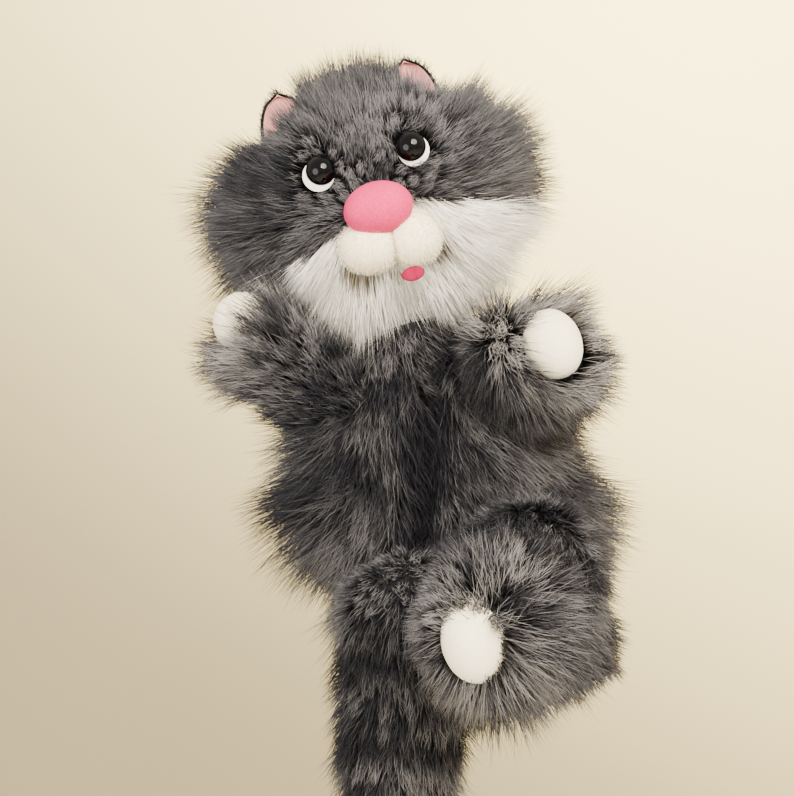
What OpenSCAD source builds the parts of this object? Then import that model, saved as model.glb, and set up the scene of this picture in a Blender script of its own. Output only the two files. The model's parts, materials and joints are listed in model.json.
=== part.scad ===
// Long-pile cat glove puppet, held up on a hand.
// +Z runs up the glove from the hand opening to the head, -Y is the side the face looks to,
// and -X is the cat's own right side. The origin is the centre of the hand opening.

/* [Glove body] */
// Height of the glove from the hand opening to the shoulders' top
body_h = 140; // [139:1:142]
// Half width of the fur casing at the hand opening
body_r = 50; // [48:1:52]
// Depth of the glove as a part of its width
body_depth = 0.84; // [0.82:0.01:0.86]
// Thickness of the fur fabric's backing and packed under-pile
fur_t = 3; // [2.5:0.1:3.2]
// Thickness of the cotton lining
lining_t = 1.4; // [1:0.1:1.6]
// Height of the folded hem around the hand opening
hem_h = 10; // [6:1:14]

/* [Neck] */
// Height of the point that the head turns, tilts and nods about
neck_z = 152; // [150:1:154]
// Radius of the stuffed neck ball
neck_r = 17; // [16.6:0.1:17]
// Play between two layers that move against each other
play = 0.4; // [0.3:0.05:0.5]

/* [Head] */
// Height of the head's centre
head_z = 215; // [213:1:217]
// Half width of the head under its pile
head_w = 52; // [50:1:54]
// Half depth of the head under its pile
head_d = 42; // [41:0.5:43]
// Half height of the head under its pile
head_h = 42; // [41:0.5:43]
// Radius of the finger tube's bore
finger_r = 10; // [9:0.25:10]
// Height of the seam between the grey crown and the white beard
beard_z = 204; // [202:1:206]

/* [Face] */
// Half width of the nose
nose_w = 13.2; // [12.6:0.1:13.6]
// Radius of the nose at its middle
nose_r = 10.4; // [10:0.1:10.8]
// Radius of a muzzle pad
pad_r = 12.2; // [11.8:0.1:12.4]
// Radius of an eye's white disc
white_r = 6.2; // [5.8:0.1:6.6]
// Radius of a pupil bead
pupil_r = 5; // [4.6:0.1:5.2]
// Half the distance between the pupils
eye_x = 18.2; // [17:0.1:19]

/* [Arms] */
// Outer radius of a sleeve under its pile
sleeve_r = 15.4; // [15:0.1:15.6]
// Length of a sleeve from the shoulder to its wrist
sleeve_l = 46; // [44:1:47]
// Radius of a felt paw
paw_r = 12.4; // [12:0.1:12.4]

/* [Legs] */
// Radius of a leg under its pile
leg_r = 20; // [19:0.1:20]
// Length of a leg from the hip to the middle of its toe ball
leg_l = 70; // [66:1:72]
// Half width, half depth and half height of a toe ball
toe_size = [12, 11.5, 15.8];

/* [Hidden] */
$fn = 96;
eps = 0.05;
band_t = 1.5;
felt_t = 1.2;
core_r = neck_r + 4 * play + 3 * band_t;
facing_r = sleeve_r + 3.4;
hip_seam_r = 11;
white_dome_r = white_r + 2.3;
head_c = [0, 0, head_z];
neck_c = [0, 0, neck_z];
nose_c = [0, -47, head_z - 11.5];
pad_c = [10.2, -43.2, head_z - 28];
eye_back_y = -43.5;

// Half widths of the glove's casing up its height, as [height, half width].
body_line = [[0, body_r], [0.28 * body_h, body_r + 2], [0.56 * body_h, body_r],
             [0.77 * body_h, body_r - 6], [0.91 * body_h, body_r - 14], [body_h, body_r - 22]];

// Shoulders, and the way each arm points from its shoulder at rest.
shoulder_right = [-38, -8, 136];
shoulder_left = [36, -8, 121];
arm_dir_right = [-0.516, -0.309, 0.800];
arm_dir_left = [0.292, -0.919, 0.263];
// The way a finger comes from the palm into each sleeve.
palm_dir_right = [-0.86, -0.10, 0.50];
palm_dir_left = [0.86, -0.10, 0.50];

// Hips, and the way each leg points from its hip at rest.
hip_right = [-30, -60, 52];
hip_left = [20, -63, 58];
leg_dir_right = [-0.30, -0.03, -0.953];
leg_dir_left = [-0.385, -0.910, -0.152];

grey = [0.40, 0.38, 0.37];
dark_grey = [0.22, 0.22, 0.25];
fur_white = [0.93, 0.91, 0.87];
felt_white = [0.92, 0.89, 0.81];
pink = [0.95, 0.52, 0.62];
cotton = [0.80, 0.78, 0.74];
wadding = [0.96, 0.96, 0.95];

// ---- shared shapes ----

module ellipsoid(size) {
    scale(size) sphere(1);
}

// Turns +Z to a direction.
module point_along(dir) {
    rotate([0, acos(dir.z / norm(dir)), atan2(dir.y, dir.x)]) children();
}

// Everything inside the glove's outer face from bottom to top, moved in by inset.
module glove_solid(inset, bottom, top) {
    scale([1, body_depth, 1]) rotate_extrude()
        polygon(concat([[0, bottom], [lookup(bottom, body_line) - inset, bottom]],
                       [for (p = body_line) if (p[0] > bottom) [p[1] - inset, p[0]]],
                       [[lookup(top, body_line) - inset, top], [0, top]]));
}

// One layer of the glove between two insets, open at both ends, with its neck and armholes.
module glove_layer(outer, inner, bottom) {
    difference() {
        glove_solid(outer, bottom, body_h + eps);
        glove_solid(inner, bottom - 5, body_h + 5);
        translate(neck_c) sphere(core_r + 0.1);
        for (s = [shoulder_right, shoulder_left]) translate(s) sphere(facing_r + 0.7);
        translate(shoulder_left) point_along(arm_dir_left)
            cylinder(r1 = sleeve_r + play, r2 = sleeve_r + 13, h = 32);
    }
}

module front_half() {
    translate([-100, -200, -100]) cube([200, 200, 500]);
}

module head_solid(inset) {
    translate(head_c) ellipsoid([head_w - inset, head_d - inset, head_h - inset]);
}

// The fur skin of the head, open for the neck tube and the eye stems.
module head_skin() {
    difference() {
        head_solid(0);
        head_solid(fur_t);
        cylinder(r = finger_r + 2, h = head_z);
        for (side = [-1, 1]) eye_hole(side);
    }
}

// Below the seam that falls away from the nose to both cheeks.
module beard_region() {
    for (side = [-1, 1])
        intersection() {
            translate([0, 0, beard_z]) rotate([0, side * 12, 0])
                translate([-100, -200, -200]) cube([200, 200, 200]);
            translate([side > 0 ? 0 : -100, -200, 0]) cube([100, 200, 400]);
        }
}

// The hole that an eye's stem goes through.
module eye_hole(side) {
    translate([side * (eye_x + 0.6), -23, head_z + 9]) rotate([90, 0, 0]) cylinder(r = 1.6, h = 30);
}

module pad_solid(side, inset) {
    translate([side * pad_c.x, pad_c.y, pad_c.z]) sphere(pad_r - inset);
}

// The hollow behind the nose, the muzzle and the tongue, just clear of the head's front.
module face_hollow() {
    translate([0, 10, head_z]) sphere(head_d + 10);
}

// Keeps a muzzle pad on its own side of the cleft and clear of the head and the nose.
module pad_trim(side) {
    difference() {
        children();
        face_hollow();
        translate(nose_c + [0, 0, 1]) sphere(nose_w - 0.4);
        translate([side > 0 ? -99.85 : -0.15, -100, 0]) cube([100, 200, 400]);
    }
}

// A round layer of a sleeve between two radii, from one distance to another along the arm.
module arm_tube(outer, inner, from, to) {
    translate([0, 0, from]) difference() {
        cylinder(r = outer, h = to - from);
        translate([0, 0, -1]) cylinder(r = inner, h = to - from + 2);
    }
}

// Side line of a leg from its round hip to its rounded foot, moved in by inset, as [radius, way].
function leg_line(inset) = concat(
    [for (a = [-90 : 10 : 0]) (leg_r - inset) * [cos(a), sin(a)]],
    [[leg_r + 0.5 - inset, 0.45 * leg_l], [leg_r - inset, 0.8 * leg_l],
     [0.84 * leg_r - inset, leg_l], [0.62 * leg_r - inset, leg_l + 5.5 - inset],
     [0, leg_l + 5.5 - inset]]);

module leg_solid(inset) {
    rotate_extrude() polygon(leg_line(inset));
}

module toe_solid(inset) {
    translate([0, 0, leg_l + 2]) ellipsoid([toe_size.z, toe_size.x, toe_size.y]
                                           - [inset, inset, inset]);
}

// ---- glove ----

module body_front_panel() {
    color(grey) intersection() {
        glove_layer(0, fur_t, hem_h);
        front_half();
    }
}

module body_back_panel() {
    color(dark_grey) difference() {
        glove_layer(0, fur_t, hem_h);
        front_half();
    }
}

module lining_front() {
    color(cotton) intersection() {
        glove_layer(fur_t + eps, fur_t + lining_t, 0);
        front_half();
    }
}

module lining_back() {
    color(cotton) difference() {
        glove_layer(fur_t + eps, fur_t + lining_t, 0);
        front_half();
    }
}

module cuff_hem(side) {
    color(dark_grey) scale([1, body_depth, 1]) intersection() {
        difference() {
            cylinder(r = body_r + 0.6, h = hem_h - eps);
            translate([0, 0, -1]) cylinder(r = body_r + 0.8 - fur_t, h = hem_h + 2);
        }
        translate([-100, side > 0 ? 0 : -100, -1]) cube([200, 100, hem_h + 2]);
    }
}

// A band of a ball around the neck point, between two radii and two polar angles.
module neck_shell(inner, outer, top_angle, low_angle) {
    translate(neck_c) rotate_extrude()
        polygon(concat([for (a = [top_angle : 5 : low_angle]) outer * [sin(a), cos(a)]],
                       [for (a = [low_angle : -5 : top_angle]) inner * [sin(a), cos(a)]]));
}

module neck_collar() {
    color(grey) neck_shell(core_r - band_t, core_r, 70, 135);
}

// The gathered cloth between a leg's hip and the glove, above the hip so that the leg can hang.
module hip_seam(hip) {
    color(grey) difference() {
        translate(hip) point_along([-hip.x, -hip.y, 0]) cylinder(r = hip_seam_r, h = 30);
        translate(hip) sphere(leg_r + play);
        glove_solid(-eps, -10, body_h - 10);
        translate([-100, -100, hip.z - 99]) cube([200, 200, 100]);
    }
}

// ---- neck ----

module neck_ring() {
    color(cotton) neck_shell(neck_r + 2 * play + band_t, neck_r + 2 * play + 2 * band_t, 70, 120);
}

module neck_band() {
    color(cotton) neck_shell(neck_r + play, neck_r + play + band_t, 75, 115);
}

// ---- head ----

module head_back_panel() {
    color(dark_grey) difference() {
        head_skin();
        front_half();
    }
}

module head_crown_panel() {
    color(grey) difference() {
        intersection() {
            head_skin();
            front_half();
        }
        beard_region();
    }
}

module head_beard_panel() {
    color(fur_white) intersection() {
        head_skin();
        front_half();
        beard_region();
    }
}

module head_wadding() {
    color(wadding) difference() {
        head_solid(fur_t + eps);
        cylinder(r = finger_r + 1.5 + eps, h = head_z + 2.1);
        for (side = [-1, 1]) eye_hole(side);
    }
}

module finger_tube() {
    color(cotton) difference() {
        translate([0, 0, neck_z - 10]) cylinder(r = finger_r + 1.5, h = head_z + 2 - neck_z + 10);
        translate([0, 0, neck_z - 11]) cylinder(r = finger_r, h = head_z + 0.5 - neck_z + 11);
    }
}

module neck_ball() {
    color(wadding) translate(neck_c) difference() {
        sphere(neck_r);
        cylinder(r = finger_r + 1.5 + eps, h = 100, center = true);
        translate([-50, -50, -58]) cube([100, 100, 50]);
    }
}

module ear_frame(side) {
    translate([side * 29.5, 3, head_z + 38]) rotate([-8, side * 14, side * 12]) children();
}

module ear_cut() {
    translate([-50, -100.6, -50]) cube([100, 100, 100]);
}

module ear(side) {
    color(grey) difference() {
        ear_frame(side) difference() {
            ellipsoid([12, 5.5, 16.5]);
            ellipsoid([10.2, 3.7, 14.7]);
            ear_cut();
        }
        head_solid(-eps);
    }
}

module ear_lining(side) {
    color(pink) difference() {
        ear_frame(side) difference() {
            ellipsoid([10.1, 3.6, 14.6]);
            translate([0, -2.2, 0]) ellipsoid([9.6, 3.6, 14]);
            ear_cut();
        }
        head_solid(-eps);
    }
}

// An eye's place on the face: everything of the eye stands in front of its back plane.
module eye_front(side) {
    intersection() {
        children();
        translate([-100, eye_back_y - 200, 0]) cube([200, 200, 400]);
    }
}

module white_dome(side, grow) {
    translate([side * (eye_x + 1), -37.7, head_z + 7.6]) sphere(white_dome_r + grow);
}

module eye_white(side) {
    color("white") eye_front(side) white_dome(side, 0);
}

module pupil(side) {
    color("black") eye_front(side) difference() {
        translate([side * eye_x, -45.4, head_z + 10]) sphere(pupil_r);
        white_dome(side, eps);
    }
}

module eye_stem(side) {
    color("white") translate([side * (eye_x + 0.6), -24, head_z + 9]) rotate([90, 0, 0])
        cylinder(r = 1.5, h = 19.5 - eps);
}

module nose() {
    color(pink) difference() {
        translate(nose_c) rotate([0, 90, 0]) rotate_extrude()
            polygon([for (a = [-90 : 7.5 : 90]) [nose_r * cos(a), nose_w * sin(a)]]);
        face_hollow();
    }
}

module muzzle_pad(side) {
    color(felt_white) pad_trim(side) difference() {
        pad_solid(side, 0);
        pad_solid(side, felt_t);
    }
}

module muzzle_wadding(side) {
    color(wadding) pad_trim(side) pad_solid(side, felt_t + eps);
}

module tongue() {
    color([0.88, 0.13, 0.36]) difference() {
        translate([5, -46, head_z - 39.5]) ellipsoid([5, 3.2, 5]);
        for (side = [-1, 1]) pad_solid(side, -eps);
        face_hollow();
    }
}

// ---- arms ----

// The gathered cloth behind a sleeve's root, open for the finger.
module armhole_facing(shoulder, arm_dir, palm_dir) {
    color(cotton) translate(shoulder) difference() {
        point_along(arm_dir) rotate([180, 0, 0]) translate([0, 0, 4.5]) rotate_extrude()
            polygon(concat([for (a = [0 : 7.5 : 75]) facing_r * [sin(a), cos(a)] - [0, 4.5]],
                           [for (a = [75 : -7.5 : 0]) (facing_r - 2.4) * [sin(a), cos(a)] - [0, 4.5]]));
        point_along(-palm_dir) cylinder(r = 11.5, h = 50);
    }
}

module sleeve(shoulder, arm_dir) {
    color(grey) translate(shoulder) point_along(arm_dir)
        arm_tube(sleeve_r, sleeve_r - fur_t, -2, sleeve_l);
}

module finger_pocket(shoulder, arm_dir) {
    color(cotton) translate(shoulder) point_along(arm_dir) difference() {
        translate([0, 0, -2]) cylinder(r = sleeve_r - fur_t - eps, h = 40.5);
        translate([0, 0, -3]) cylinder(r = sleeve_r - fur_t - lining_t, h = 40);
        translate([0, 0, sleeve_l + 5]) sphere(paw_r + eps);
    }
}

module paw_place(shoulder, arm_dir) {
    translate(shoulder) point_along(arm_dir) translate([0, 0, sleeve_l + 5]) children();
}

module paw(shoulder, arm_dir) {
    color(felt_white) paw_place(shoulder, arm_dir) difference() {
        sphere(paw_r);
        sphere(paw_r - felt_t);
    }
}

module paw_wadding(shoulder, arm_dir) {
    color(wadding) paw_place(shoulder, arm_dir) sphere(paw_r - felt_t - eps);
}

// ---- legs ----

module leg_frame(hip, leg_dir) {
    translate(hip) point_along(leg_dir) children();
}

module leg(hip, leg_dir) {
    color(grey) leg_frame(hip, leg_dir) difference() {
        leg_solid(0);
        leg_solid(fur_t);
        toe_solid(-eps);
    }
}

module leg_wadding(hip, leg_dir) {
    color(wadding) leg_frame(hip, leg_dir) intersection() {
        leg_solid(fur_t + eps);
        translate([-50, -50, -50]) cube([100, 100, 50 + leg_l - toe_size.y]);
    }
}

module toe(hip, leg_dir) {
    color(felt_white) leg_frame(hip, leg_dir) difference() {
        toe_solid(0);
        toe_solid(felt_t);
    }
}

module toe_wadding(hip, leg_dir) {
    color(wadding) leg_frame(hip, leg_dir) toe_solid(felt_t + eps);
}

body_front_panel();
body_back_panel();
lining_front();
lining_back();
cuff_hem(-1);  // cuff_hem_front
cuff_hem(1);  // cuff_hem_back
neck_collar();
hip_seam(hip_right);  // hip_seam_right
hip_seam(hip_left);  // hip_seam_left
neck_ring();
neck_band();
head_crown_panel();
head_back_panel();
head_beard_panel();
head_wadding();
finger_tube();
neck_ball();
ear(-1);  // ear_right
mirror([1, 0, 0]) ear(-1);  // ear_left
ear_lining(-1);  // ear_lining_right
mirror([1, 0, 0]) ear_lining(-1);  // ear_lining_left
eye_white(-1);  // eye_white_right
eye_white(1);  // eye_white_left
pupil(-1);  // pupil_right
pupil(1);  // pupil_left
eye_stem(-1);  // eye_stem_right
eye_stem(1);  // eye_stem_left
nose();
muzzle_pad(-1);  // muzzle_pad_right
mirror([1, 0, 0]) muzzle_pad(-1);  // muzzle_pad_left
muzzle_wadding(-1);  // muzzle_wadding_right
mirror([1, 0, 0]) muzzle_wadding(-1);  // muzzle_wadding_left
tongue();
armhole_facing(shoulder_right, arm_dir_right, palm_dir_right);  // armhole_facing_right
armhole_facing(shoulder_left, arm_dir_left, palm_dir_left);  // armhole_facing_left
sleeve(shoulder_right, arm_dir_right);  // sleeve_right
sleeve(shoulder_left, arm_dir_left);  // sleeve_left
finger_pocket(shoulder_right, arm_dir_right);  // finger_pocket_right
finger_pocket(shoulder_left, arm_dir_left);  // finger_pocket_left
paw(shoulder_right, arm_dir_right);  // paw_right
paw(shoulder_left, arm_dir_left);  // paw_left
paw_wadding(shoulder_right, arm_dir_right);  // paw_wadding_right
paw_wadding(shoulder_left, arm_dir_left);  // paw_wadding_left
leg(hip_right, leg_dir_right);  // leg_right
leg(hip_left, leg_dir_left);  // leg_left
leg_wadding(hip_right, leg_dir_right);  // leg_wadding_right
leg_wadding(hip_left, leg_dir_left);  // leg_wadding_left
toe(hip_right, leg_dir_right);  // toe_right
toe(hip_left, leg_dir_left);  // toe_left
toe_wadding(hip_right, leg_dir_right);  // toe_wadding_right
toe_wadding(hip_left, leg_dir_left);  // toe_wadding_left
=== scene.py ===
"""Grey cat glove puppet in long pile fabric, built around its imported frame.

The frame gives every place and joint. Each sub-assembly is a class that makes its own pieces: smooth sewn
skins, the pile that stands on them, the stuffed felt and fleece pieces, the eyes, the lining and the hem.
Lengths in the classes are millimetres, and every mesh is in metres.
"""

import json
import logging
import math
from collections.abc import Callable
from dataclasses import dataclass, field
from enum import Enum

import bmesh
import bpy
import numpy as np
from mathutils import Matrix, Vector, noise


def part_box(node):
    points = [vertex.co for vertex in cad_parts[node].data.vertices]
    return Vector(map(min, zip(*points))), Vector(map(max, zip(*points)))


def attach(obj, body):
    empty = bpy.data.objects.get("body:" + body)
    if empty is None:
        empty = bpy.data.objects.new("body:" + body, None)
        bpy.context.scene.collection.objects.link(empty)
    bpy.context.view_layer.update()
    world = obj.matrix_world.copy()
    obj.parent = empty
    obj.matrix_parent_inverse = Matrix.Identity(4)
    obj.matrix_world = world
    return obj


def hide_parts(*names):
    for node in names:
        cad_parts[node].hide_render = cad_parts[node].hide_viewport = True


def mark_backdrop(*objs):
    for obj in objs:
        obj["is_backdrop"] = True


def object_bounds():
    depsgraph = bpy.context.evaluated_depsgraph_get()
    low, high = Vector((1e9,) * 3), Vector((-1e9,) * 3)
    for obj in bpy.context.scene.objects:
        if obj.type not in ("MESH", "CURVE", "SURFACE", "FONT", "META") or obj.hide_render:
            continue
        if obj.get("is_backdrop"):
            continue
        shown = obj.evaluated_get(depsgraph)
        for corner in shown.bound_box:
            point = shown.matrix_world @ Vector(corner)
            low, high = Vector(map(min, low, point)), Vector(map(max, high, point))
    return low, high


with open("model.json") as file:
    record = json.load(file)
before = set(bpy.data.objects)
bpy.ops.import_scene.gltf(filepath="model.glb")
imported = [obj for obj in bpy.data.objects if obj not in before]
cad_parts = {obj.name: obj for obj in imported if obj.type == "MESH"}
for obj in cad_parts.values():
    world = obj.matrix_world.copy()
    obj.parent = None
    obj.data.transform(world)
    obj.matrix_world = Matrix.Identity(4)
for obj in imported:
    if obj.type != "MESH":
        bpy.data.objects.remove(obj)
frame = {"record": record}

LOG = logging.getLogger("cat_puppet")
MM = 0.001
NOISE_SEED = 5
Colour = tuple[float, float, float, float]
Point = tuple[float, float, float]


class Side(Enum):
    """The cat's own right and left, with the sign of x."""

    RIGHT = -1
    LEFT = 1

    @property
    def word(self) -> str:
        """The side's name as the frame spells it."""
        return self.name.lower()


class Body(Enum):
    """The bodies of the frame that pieces ride on."""

    GLOVE = "glove"
    HEAD = "head"
    ARM_RIGHT = "arm_right"
    ARM_LEFT = "arm_left"
    LEG_RIGHT = "leg_right"
    LEG_LEFT = "leg_left"


# ---------------------------------------------------------------- numbers and colours


def srgb(code: str) -> Colour:
    """Turns a hex colour into a linear one.

    Args:
        code: Six hex digits.

    Returns:
        Linear red, green, blue and an alpha of 1.
    """
    parts = [int(code[i : i + 2], 16) / 255 for i in (0, 2, 4)]
    linear = [c / 12.92 if c <= 0.04045 else ((c + 0.055) / 1.055) ** 2.4 for c in parts]
    return (linear[0], linear[1], linear[2], 1.0)


def unit(vectors: np.ndarray) -> np.ndarray:
    """Scales each vector of an array to length 1."""
    return vectors / np.maximum(np.linalg.norm(vectors, axis=-1, keepdims=True), 1e-9)


def ramp(start: float, stop: float, values: np.ndarray) -> np.ndarray:
    """Smooth step from 0 at start to 1 at stop, either way round."""
    t = np.clip((values - start) / (stop - start), 0, 1)
    return t * t * (3 - 2 * t)


def ripple(points: np.ndarray, size: float, seed: float) -> np.ndarray:
    """Smooth vector noise over points.

    Args:
        points: Places in millimetres.
        size: Distance over which the noise changes, in millimetres.
        seed: Shifts the noise.

    Returns:
        One vector from about -1 to 1 for each point.
    """
    shift = Vector((seed, seed * 0.7, -seed))
    return np.array([noise.noise_vector(Vector(p / size) + shift) for p in points])


def middle(node: str) -> np.ndarray:
    """The centre of a frame node's box, in millimetres."""
    low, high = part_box(node)
    return (np.array(low) + np.array(high)) / 2 / MM


def half_size(node: str) -> np.ndarray:
    """Half of the sides of a frame node's box, in millimetres."""
    low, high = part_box(node)
    return (np.array(high) - np.array(low)) / 2 / MM


# ---------------------------------------------------------------- node trees


class Tree:
    """Adds nodes to one shader or geometry tree and links them by socket name or identifier."""

    def __init__(self, tree: bpy.types.NodeTree) -> None:
        """Keeps the tree."""
        self.tree = tree

    @staticmethod
    def socket(sockets: bpy.types.bpy_prop_collection, key: str | int) -> bpy.types.NodeSocket:
        """Finds a socket.

        Args:
            sockets: A node's inputs or outputs.
            key: The socket's identifier, name or index.

        Returns:
            The socket.
        """
        if isinstance(key, int):
            return sockets[key]
        for s in sockets:
            if s.identifier == key:
                return s
        return next(s for s in sockets if s.name == key)

    def add(self, kind: str, settings: dict | None = None, **inputs: object) -> bpy.types.Node:
        """Adds one node.

        Args:
            kind: The node's class name.
            settings: Values for the node's own properties.
            inputs: A constant or an output socket for each input, with spaces written as underscores.

        Returns:
            The node.
        """
        node = self.tree.nodes.new(kind)
        for name, value in (settings or {}).items():
            setattr(node, name, value)
        for key, value in inputs.items():
            self.put(node, key, value)
        return node

    def put(self, node: bpy.types.Node, key: str, value: object) -> None:
        """Sets or links one input of a node."""
        names = {s.identifier for s in node.inputs}
        target = self.socket(node.inputs, key if key in names else key.replace("_", " "))
        if isinstance(value, bpy.types.NodeSocket):
            self.tree.links.new(value, target)
        else:
            target.default_value = value

    def math(self, operation: str, a: object, b: object = 0.0) -> bpy.types.NodeSocket:
        """Adds a Math node and gives its result."""
        node = self.tree.nodes.new("ShaderNodeMath")
        node.operation = operation
        for target, value in zip(node.inputs[:2], (a, b), strict=False):
            if isinstance(value, bpy.types.NodeSocket):
                self.tree.links.new(value, target)
            else:
                target.default_value = value
        return node.outputs[0]

    def vector(self, operation: str, a: object, b: object = None,
               scale: object = None) -> bpy.types.NodeSocket:
        """Adds a Vector Math node and gives its vector.

        Args:
            operation: The node's operation.
            a: First vector, a socket or a constant.
            b: Second vector, where the operation has one.
            scale: Scale, for the SCALE operation.

        Returns:
            The vector output.
        """
        node = self.tree.nodes.new("ShaderNodeVectorMath")
        node.operation = operation
        for target, value in ((node.inputs[0], a), (node.inputs[1], b), (node.inputs[3], scale)):
            if isinstance(value, bpy.types.NodeSocket):
                self.tree.links.new(value, target)
            elif value is not None:
                target.default_value = value
        return node.outputs[0]

    def mix(self, factor: object, a: object, b: object, blend: str = "MIX") -> bpy.types.NodeSocket:
        """Mixes two colours and gives the result."""
        node = self.add("ShaderNodeMix", {"data_type": "RGBA", "blend_type": blend})
        for key, value in (("Factor_Float", factor), ("A_Color", a), ("B_Color", b)):
            self.put(node, key, value)
        return self.socket(node.outputs, "Result_Color")


def new_group(name: str, kind: str, inputs: list[tuple[str, str, object]],
              outputs: list[tuple[str, str]]) -> Tree:
    """Starts a node group with named sockets.

    Args:
        name: The group's name.
        kind: ShaderNodeTree or GeometryNodeTree.
        inputs: Name, socket class and default of each input.
        outputs: Name and socket class of each output.

    Returns:
        The tree, still without nodes.
    """
    group = bpy.data.node_groups.new(name, kind)
    for label, socket_kind, default in inputs:
        made = group.interface.new_socket(label, in_out="INPUT", socket_type=socket_kind)
        if default is not None:
            made.default_value = default
    for label, socket_kind in outputs:
        group.interface.new_socket(label, in_out="OUTPUT", socket_type=socket_kind)
    return Tree(group)


# ---------------------------------------------------------------- shader groups


class Effects:
    """Shader node groups that several finishes share, each built once."""

    def __init__(self) -> None:
        """Builds the groups."""
        self.fibres = self._fibres()
        self.mottle = self._mottle()
        self.weave = self._weave()
        self.strand = self._strand()

    @staticmethod
    def _coordinates(tree: Tree) -> bpy.types.NodeSocket:
        """Object coordinates inside a group."""
        return tree.add("ShaderNodeTexCoord").outputs["Object"]

    def _fibres(self) -> bpy.types.NodeTree:
        """Fine matted fibres: a height and a light and dark mask."""
        tree = new_group("matted_fibres", "ShaderNodeTree", [
            ("Fibre Size", "NodeSocketFloat", 0.0006), ("Pill Size", "NodeSocketFloat", 0.003),
        ], [("Height", "NodeSocketFloat"), ("Mask", "NodeSocketFloat")])
        given = tree.add("NodeGroupInput").outputs
        place = self._coordinates(tree)
        fine = tree.add("ShaderNodeTexNoise", {}, Vector=place, Detail=5.0, Roughness=0.62, Distortion=1.4,
                        Scale=tree.math("DIVIDE", 1.0, given["Fibre Size"]))
        pills = tree.add("ShaderNodeTexNoise", {}, Vector=place, Detail=3.0, Roughness=0.5, Distortion=0.3,
                         Scale=tree.math("DIVIDE", 1.0, given["Pill Size"]))
        height = tree.math("ADD", tree.math("MULTIPLY", fine.outputs[0], 0.55),
                           tree.math("MULTIPLY", pills.outputs[0], 0.8))
        mask = tree.math("MULTIPLY", tree.math("SUBTRACT", fine.outputs[0], 0.36), 3.2)
        tree.add("NodeGroupOutput", {}, Height=height, Mask=mask)
        return tree.tree

    def _mottle(self) -> bpy.types.NodeTree:
        """Soft uneven patches for colour and gloss."""
        tree = new_group("soft_mottle", "ShaderNodeTree", [
            ("Patch Size", "NodeSocketFloat", 0.02), ("Contrast", "NodeSocketFloat", 1.0),
        ], [("Mask", "NodeSocketFloat")])
        given = tree.add("NodeGroupInput").outputs
        patches = tree.add("ShaderNodeTexNoise", {}, Vector=self._coordinates(tree), Detail=3.0, Roughness=0.55,
                           Distortion=0.5, Scale=tree.math("DIVIDE", 1.0, given["Patch Size"]))
        centred = tree.math("MULTIPLY", tree.math("SUBTRACT", patches.outputs[0], 0.5), given["Contrast"])
        result = tree.math("ADD", centred, 0.5)
        result.node.use_clamp = True
        tree.add("NodeGroupOutput", {}, Mask=result)
        return tree.tree

    def _weave(self) -> bpy.types.NodeTree:
        """Plain cotton weave over and under, from two crossed waves."""
        tree = new_group("plain_weave", "ShaderNodeTree", [("Thread Size", "NodeSocketFloat", 0.0006)],
                         [("Height", "NodeSocketFloat")])
        given = tree.add("NodeGroupInput").outputs
        scale = tree.math("DIVIDE", 0.32, given["Thread Size"])
        place = self._coordinates(tree)
        bands = [
            tree.add("ShaderNodeTexWave", {"bands_direction": way}, Vector=place, Scale=scale, Distortion=0.6)
            for way in ("X", "Z")
        ]
        height = tree.math("MULTIPLY", bands[0].outputs[1], bands[1].outputs[1])
        tree.add("NodeGroupOutput", {}, Height=height)
        return tree.tree

    def _strand(self) -> bpy.types.NodeTree:
        """Colour of one strand of pile, from its root to its tip and from lock to lock."""
        colours = [(n, "NodeSocketColor", (0.1, 0.1, 0.1, 1)) for n in
                   ("Root", "Middle", "Upper", "Tip", "Dark Root", "Dark Middle", "Dark Tip", "Warm Upper", "Warm Tip")]
        tree = new_group("strand_colour", "ShaderNodeTree", [
            *colours, ("Strand Spread", "NodeSocketFloat", 0.6), ("Lock Spread", "NodeSocketFloat", 0.5),
            ("Dark Share", "NodeSocketFloat", 0.4),
        ], [("Colour", "NodeSocketColor"), ("Rootward", "NodeSocketFloat")])
        given = tree.add("NodeGroupInput").outputs
        along, tone, tint, shade, lock = (
            tree.add("ShaderNodeAttribute", {"attribute_name": n}).outputs["Fac"]
            for n in ("along", "tone", "tint", "shade", "lock")
        )

        def step(low: float, high: float) -> bpy.types.NodeSocket:
            """Smooth share of the way along the strand."""
            node = tree.add("ShaderNodeMapRange", {"interpolation_type": "SMOOTHSTEP"}, Value=along,
                            From_Min=low, From_Max=high)
            return node.outputs[0]

        light = tree.mix(step(0.10, 0.42), given["Root"], given["Middle"])
        light = tree.mix(step(0.40, 0.72), light, given["Upper"])
        light = tree.mix(step(0.80, 1.0), light, given["Tip"])
        dark = tree.mix(step(0.05, 0.55), given["Dark Root"], given["Dark Middle"])
        dark = tree.mix(step(0.60, 1.0), dark, given["Dark Tip"])
        warm = tree.mix(step(0.08, 0.38), light, given["Warm Upper"])
        warm = tree.mix(step(0.62, 0.95), warm, given["Warm Tip"])
        light = tree.mix(tint, light, warm)
        by_strand = tree.math("MULTIPLY", tree.math("SUBTRACT", shade, 0.5), given["Strand Spread"])
        by_lock = tree.math("MULTIPLY", tree.math("SUBTRACT", lock, 0.5), given["Lock Spread"])
        share = tree.math("ADD", tree.math("ADD", by_strand, by_lock), given["Dark Share"])
        share = tree.math("SUBTRACT", share, tone)
        share.node.use_clamp = True
        tree.add("NodeGroupOutput", {}, Colour=tree.mix(share, light, dark), Rootward=tree.math("SUBTRACT", 1.0, along))
        return tree.tree


# ---------------------------------------------------------------- finishes


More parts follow.
